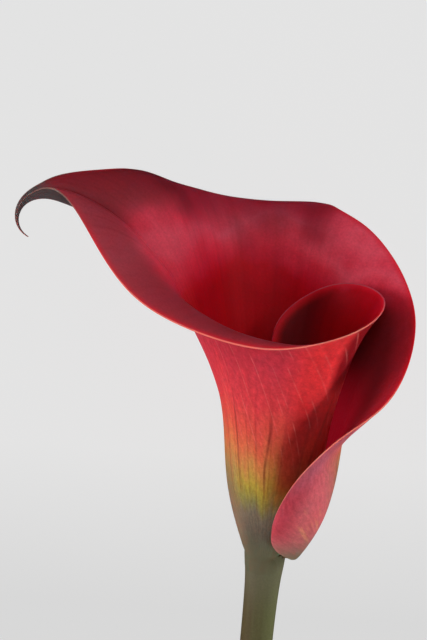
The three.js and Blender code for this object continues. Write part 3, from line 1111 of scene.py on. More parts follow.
OUTLINE = (
    # the inner margin, rising inside the throat
    OutlineRow(-15, 4.0, 1.4, 3.8, 1.0, 0),
    OutlineRow(-2, 6.9, 12.0, 6.4, 9.5, -0.6),
    OutlineRow(46, 10.2, 28.2, 8.8, 23.0, -1.7),
    OutlineRow(92.5, 12.4, 45.9, 10.0, 39.0, -2.8),
    OutlineRow(95.3, 14.5, 56.6, 12.0, 49.0, -2.6),
    OutlineRow(71.9, 17.5, 63.8, 15.0, 56.0, -1.2),
    OutlineRow(41.7, 21.0, 69.0, 17.0, 60.5, 0.2),
    OutlineRow(4, 24.8, 69.9, 19.0, 62.0, 0.8),
    # the lip across the front, widening to the left
    OutlineRow(-32, 24.3, 67.7, 19.5, 62.5, 0.5),
    OutlineRow(-68, 23.2, 65.1, 18.0, 63.3, 0),
    OutlineRow(-95, 24.3, 63.8, 17.0, 67.0, 0),
    OutlineRow(-118, 26.7, 64.4, 17.5, 69.2, 0),
    OutlineRow(-138, 31.0, 66.3, 19.5, 71.6, 0),
    OutlineRow(-151, 36.0, 68.8, 23.0, 74.3, 0),
    OutlineRow(-160.5, 41.4, 73.0, 27.0, 77.2, 0),
    OutlineRow(-167.5, 46.5, 79.6, 31.0, 81.4, 0),
    OutlineRow(-173, 51.0, 86.4, 34.5, 86.2, 0),
    # the tail, before it is hooked down
    OutlineRow(-176.8, 55.4, 91.6, 37.5, 89.5, 0),
    OutlineRow(-178.4, 60.2, 94.2, 39.5, 91.0, 0),
    OutlineRow(-179.4, 67.0, 93.8, 41.0, 92.0, 0),
    OutlineRow(-180, 78.5, 93.4, 41.5, 92.6, 0),
    OutlineRow(-180.6, 67.0, 94.3, 41.0, 93.2, 0),
    OutlineRow(-182, 60.8, 95.1, 39.0, 94.2, 0),
    OutlineRow(-185.5, 55.6, 95.9, 35.5, 95.2, 0),
    # the back, curled over and down
    OutlineRow(-192, 48.0, 95.9, 32.0, 95.6, 0.3),
    OutlineRow(-202, 42.8, 94.3, 30.0, 95.7, 0.8),
    OutlineRow(-216, 42.0, 88.9, 29.4, 94.8, 1.6),
    OutlineRow(-231, 43.2, 83.9, 29.9, 92.7, 2.5),
    OutlineRow(-246, 41.4, 80.6, 29.0, 90.6, 3.3),
    OutlineRow(-264, 36.6, 80.9, 26.9, 89.5, 4.0),
    OutlineRow(-281, 38.8, 81.7, 23.9, 87.7, 4.5),
    # the right lobe
    OutlineRow(-295, 30.3, 83.9, 21.6, 83.4, 4.8),
    OutlineRow(-312, 29.5, 81.7, 21.6, 76.8, 5.0),
    OutlineRow(-329, 31.2, 76.1, 22.5, 68.0, 5.0),
    OutlineRow(-345, 32.2, 70.5, 23.5, 61.5, 5.0),
    OutlineRow(-357, 33.2, 64.2, 24.5, 55.5, 5.0),
    OutlineRow(-367, 32.4, 55.5, 24.5, 48.0, 5.0),
    OutlineRow(-378, 29.5, 47.4, 23.0, 41.5, 4.8),
    # the outer margin, wrapped across the front of the tube down to its foot
    OutlineRow(-390, 25.4, 42.2, 20.5, 37.0, 4.6),
    OutlineRow(-402, 21.2, 37.4, 18.0, 33.0, 4.4),
    OutlineRow(-416, 17.5, 31.0, 16.0, 27.0, 4.2),
    OutlineRow(-430, 14.6, 23.8, 14.2, 20.0, 4.0),
    OutlineRow(-441, 12.5, 16.3, 12.9, 13.0, 3.8),
    OutlineRow(-444, 10.3, 9.7, 11.0, 7.5, 3.6),
    OutlineRow(-432, 8.5, 4.8, 8.9, 3.8, 3.0),
    OutlineRow(-411, 7.2, 2.1, 7.4, 1.8, 1.6),
    OutlineRow(-395, 6.0, 1.4, 6.0, 1.0, 0.4),
)


@dataclass
class Spathe:
    """The one leaf that is rolled round the spadix: tube, lip, hooked tail, back, lobe and pouch."""

    finish: SpatheFinish
    stem: StemLine = STEM_LINE

    # the tube's radius at every step up from the foot
    tube_step: float = 10.0
    tube_radii: tuple[float, ...] = (4.9, 8.6, 11.4, 11.9, 13.0, 16.2, 21.1, 27.3)

    # the foot's spiral, from its inner to its outer end
    foot_start: float = -15.0
    foot_end: float = -395.0
    foot_inset: float = 1.2
    foot_inset_share: float = 0.25
    foot_outset: float = 0.8
    foot_outset_share: float = 0.2
    foot_fade: float = 6.0

    # the ribs' guide points, whose heights share out the neck
    neck: float = 70.0
    neck_rise: float = 0.85
    guide_shares: tuple[float, ...] = (0, 0.1, 0.27, 0.47, 0.7, 0.94)
    guide_turns: tuple[float, ...] = (0, 0.12, 0.35, 0.62, 0.85, 1, 1, 1)
    guide_slack: tuple[float, ...] = (0, 0.74, 1.2, 0.97, 0.95, 0.9)
    guide_sag: tuple[float, ...] = (0, 0.1, 0.1, 0, 0, 0)

    # the hook that the tail is bent to, further out than its radius
    hook_radius: float = 55.8
    hook_height: float = 93.5
    hook_length: float = 22.7
    hook_turn: float = 155.0
    hook_power: float = 1.62
    hook_reach: float = 1.2
    hook_steps: int = 200

    # thickness, which feathers out toward the margin
    thickness_foot: float = 1.2
    thickness_wall: float = 1.05
    thickness_margin: float = 0.75
    wall_share: float = 1 / 3
    margin_power: int = 3
    feather: float = 0.45
    feather_reach: float = 3.0

    # how finely the leaf is drawn
    ribs_per_row: int = 7
    ribs_per_tail_row: int = 18
    tail_rows: tuple[int, int] = (17, 23)
    steps: int = 100
    step_crowding: float = 1.7
    trial_steps: int = 600
    trial_crowding: float = 1.5
    rim_steps: int = 4
    margin_reach: float = 6.0

    # the hem, which lies down sooner and deeper where the leaf's outer wrap starts
    hem_depth: float = 7.0
    hem_steps: int = 9
    hem_sink: float = 0.18
    hem_proud: float = 0.15
    hem_wrap_radius: float = 5.0
    hem_wrap_blend: float = 0.4
    hem_wrap_haste: float = 5.0
    hem_wrap_sink: float = 0.12

    def __post_init__(self) -> None:
        """Finds the curves that the leaf is drawn by."""
        self.row = NaturalCurve(OUTLINE)
        self.last = len(OUTLINE) - 1
        self.tube = NaturalCurve([[radius] for radius in self.tube_radii])
        self.hook = self.hook_line()

    def spiral(self, share: np.ndarray) -> np.ndarray:
        """How far the foot's spiral stands off the tube's own radius.

        Args:
            share: shares of the way round, 0 to 1.

        Returns:
            The distances, which are less than 0 at the inner end.
        """
        inset = np.maximum(0, 1 - share / self.foot_inset_share)
        outset = np.maximum(0, 1 - (1 - share) / self.foot_outset_share)
        return self.foot_outset * outset**2 - self.foot_inset * inset**2

    def guides(self, u: np.ndarray) -> tuple[np.ndarray, np.ndarray, np.ndarray]:
        """Guide points of the ribs.

        Args:
            u: where the ribs end along the outline, in rows.

        Returns:
            Heights, radii and angles of eight guide points, in the last dimension.
        """
        angle, radius, height, shoulder_radius, shoulder_height, slack = np.moveaxis(self.row(u), -1, 0)
        share = u / self.last
        foot = self.foot_start + (self.foot_end - self.foot_start) * share
        neck = self.neck * np.tanh(self.neck_rise * height / self.neck)
        heights, radii = [], []
        for part, stand, sag in zip(self.guide_shares, self.guide_slack, self.guide_sag):
            z = part * neck
            fade = np.maximum(0, 1 - z / self.foot_fade)
            heights.append(z - np.maximum(0, slack) * sag)
            tube = self.tube(z / self.tube_step)[..., 0]
            radii.append(tube + slack * stand + self.spiral(share) * fade)
        heights += [shoulder_height, height]
        radii += [shoulder_radius, radius]
        angles = [foot + (angle - foot) * turn for turn in self.guide_turns]
        return np.stack(heights, -1), np.stack(radii, -1), np.stack(angles, -1)

    def hook_line(self) -> tuple[np.ndarray, np.ndarray, np.ndarray, np.ndarray]:
        """The hook's own line.

        Returns:
            Lengths along it, and how far out, how high and how steep it is there.
        """
        along = np.linspace(0, self.hook_length * self.hook_reach, self.hook_steps + 1)
        turn = np.radians(self.hook_turn) * (along / self.hook_length) ** self.hook_power
        mean = (turn[1:] + turn[:-1]) / 2
        step = along[1]
        x = -self.hook_radius - np.concatenate(([0], np.cumsum(np.cos(mean) * step)))
        z = self.hook_height - np.concatenate(([0], np.cumsum(np.sin(mean) * step)))
        return along, x, z, turn

    def unbent(self, u: np.ndarray, t: np.ndarray) -> tuple[np.ndarray, np.ndarray, np.ndarray]:
        """The leaf's middle surface before its tail is hooked.

        Args:
            u: where the ribs end along the outline, in rows.
            t: places along the ribs, 0 at the foot and 1 at the margin, of the same shape as u.

        Returns:
            Heights and radii in millimetres, and angles in radians.
        """
        weights = guide_weights(t, len(self.guide_turns))
        z, radius, angle = ((weights * part).sum(-1) for part in self.guides(u))
        return z, radius, np.radians(angle)

    def middle(self, u: np.ndarray, t: np.ndarray) -> np.ndarray:
        """Points of the leaf's middle surface.

        Args:
            u: where the ribs end along the outline, in rows.
            t: places along the ribs, as unbent takes them.

        Returns:
            The points, in millimetres, with the hook bent.
        """
        z, radius, turn = self.unbent(u, t)
        x = radius * np.cos(turn)
        lengths, line_x, line_z, line_turn = self.hook
        along = np.maximum(-x - self.hook_radius, 0)
        steep = np.interp(along, lengths, line_turn)
        above = z - self.hook_height
        bent = along > 0
        hooked_x = np.where(bent, np.interp(along, lengths, line_x) - above * np.sin(steep), x)
        hooked_z = np.where(bent, np.interp(along, lengths, line_z) + above * np.cos(steep), z)
        return np.stack((hooked_x, radius * np.sin(turn), hooked_z), -1)

    def outward(self, u: np.ndarray, t: np.ndarray) -> np.ndarray:
        """Directions square to the leaf, away from the throat.

        Args:
            u: where the ribs end along the outline, in rows.
            t: places along the ribs, as unbent takes them.

        Returns:
            Directions of length 1.
        """
        near = 0.01
        left, right = np.minimum(u + near, self.last), np.maximum(u - near, 0)
        sideways = self.middle(left, t) - self.middle(right, t)
        upward = self.middle(u, np.minimum(t + near, 1)) - self.middle(u, np.maximum(t - near, 0))
        out = np.cross(upward, sideways)
        return out / np.linalg.norm(out, axis=-1, keepdims=True)

    def rib_places(self) -> np.ndarray:
        """Where the ribs end along the outline.

        Returns:
            The places, in rows, with more to a row in the narrow tail.
        """
        places = [0.0]
        for row in range(self.last):
            in_tail = self.tail_rows[0] <= row < self.tail_rows[1]
            ribs = self.ribs_per_tail_row if in_tail else self.ribs_per_row
            places += [row + (k + 1) / ribs for k in range(ribs)]
        return np.array(places)

    def steps_along(self, u: np.ndarray) -> np.ndarray:
        """Places along each rib: close together near the margin, the last few round the rim.

        Args:
            u: the ribs' places, in one dimension.

        Returns:
            One row of places for each rib.
        """
        fine = 1 - (1 - np.linspace(0, 1, self.trial_steps + 1)) ** self.trial_crowding
        points = self.middle(np.repeat(u[:, None], len(fine), 1), np.repeat(fine[None], len(u), 0))
        lengths = np.linalg.norm(np.diff(points, axis=1), axis=-1)
        left = np.concatenate((np.cumsum(lengths[:, ::-1], 1)[:, ::-1], np.zeros((len(u), 1))), 1)
        rim = self.thickness_margin * self.feather / 2
        round_rim = rim * (1 - np.cos(np.radians(np.linspace(90, 0, self.rim_steps + 1))))
        rest = (1 - np.arange(self.steps) / self.steps) ** self.step_crowding
        rows = []
        for row in left:
            reach = min(1, row[0] / 2 / rim)
            wanted = np.concatenate((rim * reach + (row[0] - rim * reach) * rest, round_rim * reach))
            rows.append(np.interp(-wanted, -row, fine))
        return np.array(rows)

    def margin_distance(self, u: np.ndarray, points: np.ndarray) -> np.ndarray:
        """Distance from each point to the leaf's nearest free margin.

        Args:
            u: the ribs' places.
            points: the points of each rib, the last one at the margin.

        Returns:
            The distances, in millimetres.
        """
        tips = points[:, -1]
        distance = np.empty(points.shape[:2])
        for i, place in enumerate(u):
            near = tips[np.abs(u - place) <= self.margin_reach]
            for side, side_points in ((0, points[0]), (self.last, points[-1])):
                if abs(place - side) <= self.margin_reach:
                    near = np.concatenate((near, side_points))
            distance[i] = np.linalg.norm(points[i][:, None] - near[None], axis=-1).min(1)
        return distance

    def half_thickness(self, t: np.ndarray, margin: np.ndarray) -> np.ndarray:
        """Half the leaf's thickness: fleshy at the foot, feathered out to a thin round margin.

        Args:
            t: places along the ribs.
            margin: distances to the margin there.

        Returns:
            The half thicknesses, in millimetres.
        """
        wall_now = np.minimum(1, t / self.wall_share)
        wall = self.thickness_foot + (self.thickness_wall - self.thickness_foot) * wall_now
        thick = wall + (self.thickness_margin - wall) * t**self.margin_power
        thick = thick * (self.feather + (1 - self.feather) * smooth(margin / self.feather_reach))
        into = np.clip(margin / (self.thickness_margin * self.feather / 2), 0, 1)
        return thick / 2 * np.sqrt(1 - (1 - into) ** 2)

    def hem(self, foot: np.ndarray, half: np.ndarray, side: int) -> np.ndarray:
        """The foot's hem, which runs down the stem and sinks into its skin.

        Args:
            foot: the middle surface's foot, one point for each rib.
            half: half the thickness there.
            side: 1 for the outer face and -1 for the inner one.

        Returns:
            The hem's points of each rib, from its low end up.
        """
        angle = np.arctan2(foot[:, 1], foot[:, 0])
        radius = np.hypot(foot[:, 0], foot[:, 1])
        proud = self.hem_proud * np.clip(2 * half / self.thickness_foot, 0, 1)
        outer_wrap = smooth((radius - self.hem_wrap_radius) / self.hem_wrap_blend)
        rows = []
        for share in np.linspace(1, 0, self.hem_steps + 1)[:-1]:
            depth = share * self.hem_depth
            under = self.hem_sink * (1 if side < 0 else smooth(np.array(share * 2 - 1)) - proud)
            under = under + self.hem_wrap_sink * outer_wrap
            ease = 1 - (1 - np.minimum(1, share * (1 + self.hem_wrap_haste * outer_wrap))) ** 3
            reach = (radius + side * half) * (1 - ease) + (self.stem.radius(depth) - under) * ease
            x = reach * np.cos(angle) + self.stem.shift(depth)
            rows.append(np.stack((x, reach * np.sin(angle), foot[:, 2] - depth), -1))
        return np.stack(rows, 1)

    def wrapped(self, values: np.ndarray) -> np.ndarray:
        """Carries a value of the middle surface round both faces and the hem."""
        up = np.concatenate((np.repeat(values[:, :1], self.hem_steps, 1), values), 1)
        return np.concatenate((up, up[:, -2::-1]), 1)

    def build(self) -> bpy.types.Object:
        """Builds and dresses the spathe.

        Returns:
            The piece.
        """
        u = self.rib_places()
        t = self.steps_along(u)
        ribs = np.repeat(u[:, None], t.shape[1], 1)
        points = self.middle(ribs, t)
        margin = self.margin_distance(u, points)
        half = self.half_thickness(t, margin)
        offset = self.outward(ribs, t) * half[..., None]
        offset[:, 0, 2] = 0
        outer, inner = (
            np.concatenate((self.hem(points[:, 0], half[:, 0], side), points + side * offset), 1)
            for side in (1, -1)
        )
        ring = np.concatenate((outer, inner[:, -2::-1]), 1)
        inside = np.zeros(ring.shape[:2])
        inside[:, outer.shape[1] - 1] = 0.5
        inside[:, outer.shape[1] :] = 1
        z, radius, turn = self.unbent(ribs, t)
        values = {
            "across": self.wrapped(ribs) / self.last,
            "along": self.wrapped(t),
            "height": np.minimum(ring[..., 2], self.wrapped(z)),
            "turn": self.wrapped(np.degrees(turn)),
            "reach": self.wrapped(radius),
            "margin": self.wrapped(margin),
            "inside": inside,
        }
        mesh = closed_leaf("spathe_leaf", ring, values)
        mesh.materials.append(self.finish.material())
        return piece("spathe_leaf", mesh, replaces="spathe")


def closed_leaf(name: str, ring: np.ndarray, values: dict[str, np.ndarray]) -> bpy.types.Mesh:
    """Closes rings of points, one round each rib, into one smooth shell.

    Args:
        name: the mesh's name.
        ring: points round each rib, up the outer face and down the inner one, in millimetres.
        values: numbers to hold at each vertex, by name.

    Returns:
        The mesh, placed where the flower lies.
    """
    ribs, columns = ring.shape[:2]
    index = np.arange(ribs * columns).reshape(ribs, columns)
    for side in (0, ribs - 1):
        for c in range(columns // 2 + 1, columns):
            index[side, c] = index[side, columns - 1 - c]
    kept, index = np.unique(index, return_inverse=True)
    index = index.reshape(ribs, columns)
    spots = LYING.settled(LYING.metres(ring.reshape(-1, 3))[kept])
    faces = []
    for i in range(ribs - 1):
        for c in range(columns):
            d = (c + 1) % columns
            corners = (index[i, c], index[i, d], index[i + 1, d], index[i + 1, c])
            face = tuple(dict.fromkeys(int(x) for x in corners))
            if len(face) > 2:
                faces.append(face)
    mesh = bpy.data.meshes.new(name)
    mesh.from_pydata(spots.tolist(), [], faces)
    for label, numbers in values.items():
        layer = mesh.attributes.new(label, "FLOAT", "POINT")
        layer.data.foreach_set("value", numbers.reshape(-1)[kept].astype(np.float32))
    mesh.shade_smooth()
    mesh.update()
    return mesh


def linked(made: bpy.types.Object) -> bpy.types.Object:
    """Puts an object into the scene."""
    bpy.context.scene.collection.objects.link(made)
    return made


def piece(name: str, mesh: bpy.types.Mesh, replaces: str) -> bpy.types.Object:
    """Makes a finished piece of the flower.

    Args:
        name: the piece's name.
        mesh: its mesh, in place.
        replaces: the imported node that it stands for.

    Returns:
        The piece, riding on the flower's one body.
    """
    made = linked(bpy.data.objects.new(name, mesh))
    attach(made, "root")
    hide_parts(replaces)
    return made


class GeometryGraph(Graph):
    """A graph of geometry nodes with named inputs, which grows one mesh."""

    kinds: dict[type, str] = {
        float: "NodeSocketFloat",
        int: "NodeSocketInt",
        bpy.types.Material: "NodeSocketMaterial",
    }

    def __init__(self, name: str, inputs: dict[str, Value]) -> None:
        """Starts the tree.

        Args:
            name: the tree's name.
            inputs: the tree's inputs by name: numbers, with lengths in metres, and materials.
        """
        tree = bpy.data.node_groups.new(name, "GeometryNodeTree")
        super().__init__(tree)
        self.values = {}
        for label, value in inputs.items():
            kind = self.kinds[type(value)]
            socket = tree.interface.new_socket(name=label, in_out="INPUT", socket_type=kind)
            self.values[socket.identifier] = value
        tree.interface.new_socket(name="Geometry", in_out="OUTPUT", socket_type="NodeSocketGeometry")
        start = self.node("NodeGroupInput")
        self.given = {label: start.outputs[label] for label in inputs}

    def curve(self, value: Value, points: Iterable[Span]) -> bpy.types.NodeSocket:
        """Reads a smooth curve.

        Args:
            value: where to read, 0 to 1.
            points: points that the curve runs through, both numbers 0 to 1.

        Returns:
            The curve's height there.
        """
        made = self.node("ShaderNodeFloatCurve", {"Value": value})
        line = made.mapping.curves[0]
        for k, (x, y) in enumerate(points):
            if k < 2:
                line.points[k].location = (x, y)
            else:
                line.points.new(x, y)
        made.mapping.update()
        return made.outputs[0]

    def share(self) -> bpy.types.NodeSocket:
        """The share of the way along a path."""
        return self.node("GeometryNodeSplineParameter").outputs["Factor"]

    def tube(self, place: Value, outline: Iterable[Span]) -> bpy.types.NodeSocket:
        """Grows a round tube along a path, with the inputs Rings, Sides and Widest.

        Args:
            place: where the path runs, worked out from share.
            outline: shares of the way along, and there the radius as a share of the widest.

        Returns:
            The tube, closed at both ends.
        """
        line = self.first("GeometryNodeCurvePrimitiveLine")
        line = self.first("GeometryNodeResampleCurve", {"Curve": line, "Count": self.given["Rings"]})
        path = self.first("GeometryNodeSetPosition", {"Geometry": line, "Position": place})
        circle = {"Resolution": self.given["Sides"], "Radius": 1.0}
        profile = self.first("GeometryNodeCurvePrimitiveCircle", circle)
        width = self.product(self.curve(self.share(), outline), self.given["Widest"])
        inputs = {"Curve": path, "Profile Curve": profile, "Scale": width, "Fill Caps": True}
        return self.first("GeometryNodeCurveToMesh", inputs)

    def dressed(self, geometry: Value, material: Value, chosen: Value = True) -> bpy.types.NodeSocket:
        """Makes a geometry's instances real and gives it a material.

        Args:
            geometry: the geometry.
            material: the material.
            chosen: which faces take it.

        Returns:
            The dressed geometry.
        """
        real = self.first("GeometryNodeRealizeInstances", {"Geometry": geometry})
        inputs = {"Geometry": real, "Selection": chosen, "Material": material}
        return self.first("GeometryNodeSetMaterial", inputs)

    def finish(self, *parts: Value) -> None:
        """Joins dressed parts, shades them smoothly and ends the tree with them.

        Args:
            parts: the parts' geometries.
        """
        joined = self.node("GeometryNodeJoinGeometry")
        for geometry in reversed(parts):
            self.feed(joined.inputs[0], geometry)
        shaded = self.first("GeometryNodeSetShadeSmooth", {"Geometry": joined.outputs[0]})
        self.feed(self.node("NodeGroupOutput").inputs[0], shaded)

    def grow(self, name: str) -> bpy.types.Mesh:
        """Runs the tree.

        Args:
            name: the mesh's name.

        Returns:
            The mesh, laid down where the flower lies.
        """
        seed = linked(bpy.data.objects.new(name + "_seed", bpy.data.meshes.new(name + "_seed")))
        modifier = seed.modifiers.new("grow", "NODES")
        modifier.node_group = self.tree
        for identifier, value in self.values.items():
            modifier[identifier] = value
        graph = bpy.context.evaluated_depsgraph_get()
        mesh = bpy.data.meshes.new_from_object(seed.evaluated_get(graph))
        mesh.name = name
        seed.modifiers.remove(modifier)
        bpy.data.objects.remove(seed)
        mesh.transform(LYING.transform())
        spots = np.empty(len(mesh.vertices) * 3)
        mesh.vertices.foreach_get("co", spots)
        mesh.vertices.foreach_set("co", LYING.settled(spots.reshape(-1, 3)).ravel())
        mesh.update()
        return mesh


@dataclass
class Stem:
    """The fleshy stem: a tube that bows gently to the left, with a straight cut end."""

    finish: StemFinish
    line: StemLine = STEM_LINE
    top: float = 0.4
    widest: float = 10.0
    sides: int = 96
    rings: int = 220

    # the cut end faces down; its edge is rounded, and the ends of its vessels stand out as dots
    cut_normal: float = -0.9
    bevel: float = 0.35
    bevel_steps: int = 3
    bevel_roundness: float = 0.5
    weld: float = 0.001
    dot_width: float = 0.32
    dot_gap: float = 0.75
    dot_flatness: float = 0.4
    dot_sides: int = 8
    dot_rings: int = 5
    dots_per_square_metre: float = 4.0e6
    seed: int = 5

    def tree(self) -> GeometryGraph:
        """Builds the tree that grows a stem along its bowed path.

        Returns:
            The graph.
        """
        inputs = {
            "Length": self.line.length * MM,
            "Top": self.top * MM,
            "Bow": self.line.bow * MM,
            "Bow Span": self.line.bow_span * MM,
            "Widest": self.widest * MM,
            "Sides": self.sides,
            "Rings": self.rings,
            "Dot Radius": self.dot_width / 2 * MM,
            "Dot Gap": self.dot_gap * MM,
            "Seed": self.seed,
            "Skin": self.finish.skin(),
            "Flesh": self.finish.cut(),
        }
        g = GeometryGraph("stem_along_path", inputs)
        given = g.given
        whole = g.math("ADD", given["Length"], given["Top"])
        depth = g.math("SUBTRACT", g.product(g.share(), whole), given["Top"])
        down = g.math("DIVIDE", g.math("MAXIMUM", depth, 0.0), given["Bow Span"])
        aside = g.product(g.math("SINE", g.product(down, math.pi)), given["Bow"])
        place = g.combine(g.product(aside, -1.0), 0.0, g.product(depth, -1.0))
        span = self.line.length + self.top
        outline = [((at + self.top) / span, radius / self.widest) for at, radius in self.line.outline]
        tube = g.tube(place, outline)
        normal = g.node("ShaderNodeSeparateXYZ", {0: g.first("GeometryNodeInputNormal")}).outputs[2]
        cut = g.math("LESS_THAN", normal, self.cut_normal)
        skin = g.dressed(g.dressed(tube, given["Skin"]), given["Flesh"], cut)
        g.finish(skin, g.dressed(self.dots(g, tube, cut), given["Flesh"]))
        return g

    def dots(self, g: GeometryGraph, tube: Value, cut: Value) -> bpy.types.NodeSocket:
        """Strews the ends of the stem's vessels over its cut end.

        Args:
            g: the stem's graph.
            tube: the stem.
            cut: which faces are the cut end.

        Returns:
            The dots, as instances.
        """
        strewn = {"Mesh": tube, "Selection": cut, "Distance Min": g.given["Dot Gap"]}
        strewn |= {"Density Max": self.dots_per_square_metre, "Seed": g.given["Seed"]}
        spots = g.first("GeometryNodeDistributePointsOnFaces", strewn, distribute_method="POISSON")
        ball = {"Segments": self.dot_sides, "Rings": self.dot_rings}
        dot = g.first("GeometryNodeMeshUVSphere", ball | {"Radius": g.given["Dot Radius"]})
        placed = {"Points": spots, "Instance": dot, "Scale": (1.0, 1.0, self.dot_flatness)}
        return g.first("GeometryNodeInstanceOnPoints", placed)

    def soften(self, mesh: bpy.types.Mesh) -> None:
        """Rounds the edge of the cut end and closes the skin's seams.

        Args:
            mesh: the stem's mesh.
        """
        work = bmesh.new()
        work.from_mesh(mesh)
        bmesh.ops.remove_doubles(work, verts=work.verts, dist=self.weld * MM)
        edges = [e for e in work.edges if e.is_manifold]
        rim = [e for e in edges if len({face.material_index for face in e.link_faces}) > 1]
        settings = {"segments": self.bevel_steps, "profile": self.bevel_roundness, "affect": "EDGES"}
        bmesh.ops.bevel(work, geom=rim, offset=self.bevel * MM, **settings)
        work.to_mesh(mesh)
        work.free()
        mesh.shade_smooth()

    def build(self) -> bpy.types.Object:
        """Builds and dresses the stem.

        Returns:
            The piece.
        """
        mesh = self.tree().grow("stem_skin")
        self.soften(mesh)
        return piece("stem_skin", mesh, replaces="stem")


@dataclass
class Spadix:
    """The spike in the throat, packed with small round florets."""

    finish: SpadixFinish
    base: float = 2.1
    height: float = 41.9
    widest: float = 4.0
    sides: int = 48
    rings: int = 90

    # shares of the way up and the spike's radii there
    outline: tuple[Span, ...] = (
        (0.0, 2.0),
        (0.09, 2.3),
        (0.21, 3.0),
        (0.38, 3.45),
        (0.62, 3.45),
        (0.81, 3.05),
        (0.93, 2.2),
        (0.985, 1.0),
        (1.0, 0.05),
    )

    # florets, set round the spike by the golden angle; the top ones turn upward
    florets: int = 560
    first_floret: float = 0.5
    golden_turn: float = 137.508
    floret_radius: float = 0.78
    floret_flatness: float = 0.62
    floret_widths: Span = (0.86, 1.1)
    floret_heights: Span = (0.8, 1.25)
    floret_sides: int = 10
    floret_rings: int = 6
    tip_lift: float = 2.5
    tip_power: float = 14.0
    seed: int = 3

    def tree(self) -> GeometryGraph:
        """Builds the tree that packs florets round a spike in a golden-angle spiral.

        Returns:
            The graph.
        """
        inputs = {
            "Base": self.base * MM,
            "Height": self.height * MM,
            "Widest": self.widest * MM,
            "Florets": self.florets,
            "Floret Radius": self.floret_radius * MM,
            "Flatness": self.floret_flatness,
            "Turn": math.radians(self.golden_turn),
            "Sides": self.sides,
            "Rings": self.rings,
            "Seed": self.seed,
            "Finish": self.finish.material(),
        }
        g = GeometryGraph("florets_round_spike", inputs)
        outline = [(share, radius / self.widest) for share, radius in self.outline]
        spike = g.tube(g.combine(0.0, 0.0, self.rise(g, g.share())), outline)
        florets = self.packed(g, outline)
        g.finish(*(g.dressed(part, g.given["Finish"]) for part in (spike, florets)))
        return g

    def rise(self, g: GeometryGraph, share: Value) -> bpy.types.NodeSocket:
        """The height at a share of the way up the spike."""
        return g.math("ADD", g.product(share, g.given["Height"]), g.given["Base"])

    def random(self, g: GeometryGraph, span: Span) -> bpy.types.NodeSocket:
        """A random number for each floret, from the tree's fixed seed."""
        inputs = {2: span[0], 3: span[1], "Seed": g.given["Seed"]}
        return g.node("FunctionNodeRandomValue", inputs, data_type="FLOAT").outputs[1]

    def packed(self, g: GeometryGraph, outline: list[Span]) -> bpy.types.NodeSocket:
        """Packs the florets round the spike.

        Args:
            g: the spadix's graph.
            outline: the spike's outline, as shares of its height and its widest radius.

        Returns:
            The florets, as instances.
        """
        given = g.given
        index = g.math("ADD", g.first("GeometryNodeInputIndex"), self.first_floret)
        share = g.math("DIVIDE", index, given["Florets"])
        turn = g.product(index, given["Turn"])
        radius = g.product(g.curve(share, outline), given["Widest"])
        across, back = g.math("COSINE", turn), g.math("SINE", turn)
        place = g.combine(g.product(across, radius), g.product(back, radius), self.rise(g, share))
        lift = g.product(g.math("POWER", share, self.tip_power), self.tip_lift)
        outward = g.combine(across, back, lift)
        points = g.first("GeometryNodePoints", {"Count": given["Florets"], "Position": place})
        turned = g.first("FunctionNodeAlignRotationToVector", {"Vector": outward}, axis="Z")
        ball = {"Segments": self.floret_sides, "Rings": self.floret_rings}
        floret = g.first("GeometryNodeMeshUVSphere", ball | {"Radius": given["Floret Radius"]})
        wide = self.random(g, self.floret_widths)
        tall = g.product(self.random(g, self.floret_heights), given["Flatness"])
        placed = {"Points": points, "Instance": floret, "Rotation": turned}
        return g.first("GeometryNodeInstanceOnPoints", placed | {"Scale": g.combine(wide, wide, tall)})

    def build(self) -> bpy.types.Object:
        """Builds and dresses the spadix.

        Returns:
            The piece.
        """
        mesh = self.tree().grow("spadix_florets")
        return piece("spadix_florets", mesh, replaces="spadix")


@dataclass(frozen=True)
class Lamp:
    """A soft white lamp that lights the flower alone.

    Its azimuth and elevation are seen from the standing flower, 0 and 0 being straight before its
    mouth, and azimuths rise to the right. Its power is in watts. A mirrored lamp shows in gloss.
    """

    name: str
    azimuth: float
    elevation: float
    size: float
    power: float
    distance: float = 1000.0
    mirrored: bool = True


